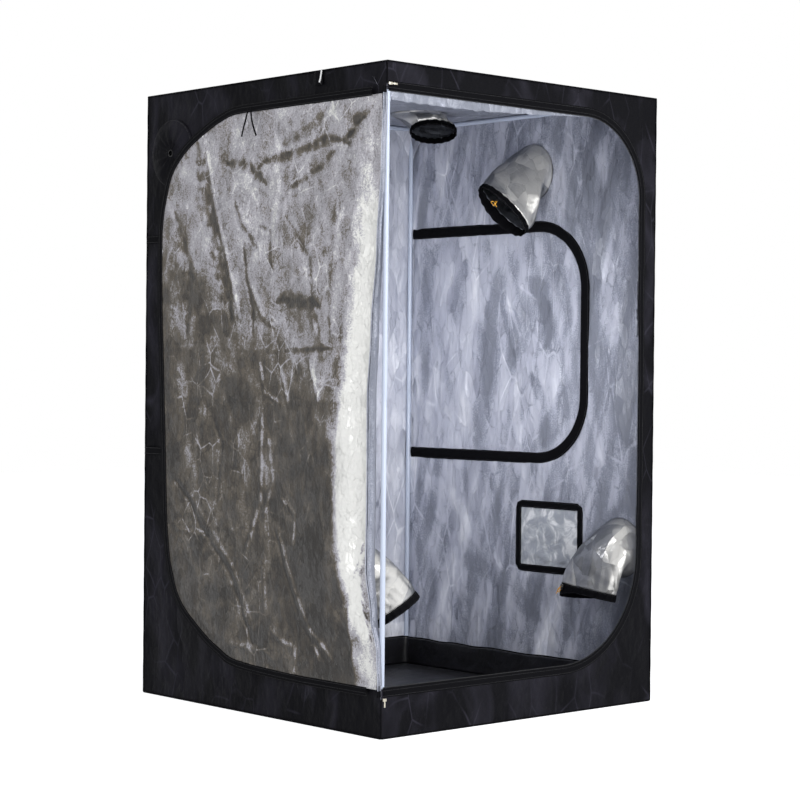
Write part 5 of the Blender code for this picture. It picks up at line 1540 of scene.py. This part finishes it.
def buildSlider(name, body, along, outward, pull):  # a body with a bridge, and a pull with a rounded end
    low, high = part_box(name)
    along, outward, pull = Vector(along), Vector(outward), Vector(pull)
    middle = (low + high) / 2 - pull * (slider["pull"] / 2)
    start = middle + pull * slider["body"] * abs(pull.dot(along)) * 0.4
    # size in mm, place, way of the length, rounding and its segments
    blocks = [((13.6, 8.6, 1.3), middle - outward * 1.3 * mm, along, 0.35, 3),
              ((13.0, 8.2, 1.2), middle + outward * 0.4 * mm, along, 0.35, 3),
              ((8.0, 2.4, 1.0), middle + outward * 1.4 * mm, along, 0.4, 3),
              ((7, 4.6, 1.1), start + pull * 4 * mm, pull, 0.45, 3),
              ((15, 5.6, 1.4), start + pull * 14.5 * mm, pull, 0.45, 4)]
    parts = []
    for size, place, way, radius, segments in blocks:
        turn = Matrix((way, way.cross(outward), outward)).transposed().to_4x4()
        parts.append(roundedBlock(Vector(size) * mm, place, turn, radius, segments))
    mesh = joinedMesh(name, parts)
    shade(mesh, 50)
    finishPiece(wordsOf(name), mesh, body, (name,), "slider_metal", sliderMetal)


def buildSliders():
    buildSlider("front_zip_slider_top", "top_slider", east, -north, east)
    buildSlider("front_zip_slider_bottom", "bottom_slider", east, -north, -up)
    buildSlider("side_zip_slider", "side_slider", north, east, -up)


buildTray()
buildPoles()
buildPiping()
buildCornerPatches()
buildWebbing()
buildSliders()
buildRows()
print("frame, tray, straps and sliders made")


# Camera and studio

view = {"place": (-4.77037952, -5.25076829, 1.07630416), "azimuth": 42.31032572, "elevation": -0.67731643,
        "roll": 0.56816014, "lens": 95.587}


def addCamera():
    data = bpy.data.cameras.new("photoCamera")
    data.sensor_width = 36
    data.lens = view["lens"]
    data.clip_end = 60
    camera = newObject("photoCamera", data)
    az, el, roll = (math.radians(view[key]) for key in ("azimuth", "elevation", "roll"))
    forward = Vector((math.sin(az) * math.cos(el), math.cos(az) * math.cos(el), math.sin(el)))
    right = forward.cross(up).normalized()
    level = right.cross(forward)
    turnedRight = math.cos(roll) * right + math.sin(roll) * level
    turnedUp = -math.sin(roll) * right + math.cos(roll) * level
    turn = Matrix((turnedRight, turnedUp, -forward)).transposed().to_4x4()
    camera.matrix_world = Matrix.Translation(view["place"]) @ turn
    bpy.context.scene.camera = camera


studio = {"floorSize": 14.0, "floor": "#f2f2f3", "floorLift": 0.62, "ambient": 0.5, "sky": "#f4f6fa"}
# place, where it points, size in metres, power in watts
lamps = {"keyLamp": ((0.9, -5.2, 2.6), (0.1, 0, 0.9), 2.2, 145),
         "fillLamp": ((-5.0, 0.6, 2.4), (-0.6, 0, 1.1), 2.6, 42),
         "topLamp": ((0, 0, 4.6), (0, 0, 0), 3.0, 45),
         "doorwayLamp": ((-2.0, -4.6, 1.7), (0.5, 0.1, 1.0), 1.6, 90),
         "insideLamp": ((-0.12, -0.3, 1.2), (0.5, 0.4, 1.05), 0.45, 5.5)}


def addArea(name, place, target, size, power):
    data = bpy.data.lights.new(name, "AREA")
    data.shape = "SQUARE"
    data.size = size
    data.energy = power
    lamp = newObject(name, data)
    lamp.location = place
    lamp.rotation_euler = (Vector(target) - Vector(place)).to_track_quat("-Z", "Y").to_euler()
    lamp.visible_camera = False


def seenRay(tree):  # 1 for rays that show the backdrop: seen directly, mirrored or through clear film
    path = addNode(tree, "ShaderNodeLightPath")
    shown = path.outputs["Is Camera Ray"]
    for kind in ("Is Glossy Ray", "Is Transmission Ray"):
        shown = addNode(tree, "ShaderNodeMath", {0: shown, 1: path.outputs[kind]}, operation="MAXIMUM")
    return shown


def addStudio():
    size = studio["floorSize"]
    mesh = bpy.data.meshes.new("studioFloor")
    mesh.from_pydata([(-size, -size, 0), (size, -size, 0), (size, size, 0), (-size, size, 0)], [], [(0, 1, 2, 3)])
    floor = newObject("studioFloor", mesh)
    material, tree, shader = newMaterial("studioPaper", studio["floor"], 0.9)
    lift = addNode(tree, "ShaderNodeMath", {0: seenRay(tree), 1: studio["floorLift"]}, operation="MULTIPLY")
    shader.inputs["Emission Color"].default_value = (1, 1, 1, 1)
    tree.links.new(lift.outputs[0], shader.inputs["Emission Strength"])
    mesh.materials.append(material)
    world = bpy.data.worlds.new("studioWorld")
    bpy.context.scene.world = world
    world.use_nodes = True
    tree = world.node_tree
    tree.nodes.clear()
    soft = addNode(tree, "ShaderNodeBackground", {"Color": linear(studio["sky"]), "Strength": studio["ambient"]})
    white = addNode(tree, "ShaderNodeBackground", {"Color": (1, 1, 1, 1), "Strength": 1.0})
    mix = addNode(tree, "ShaderNodeMixShader", {0: seenRay(tree), 1: soft, 2: white})
    addNode(tree, "ShaderNodeOutputWorld", {"Surface": mix})
    for name, lamp in lamps.items():
        addArea(name, *lamp)
    bpy.context.scene.view_settings.view_transform = "Standard"


addCamera()
addStudio()
print("camera and studio made")
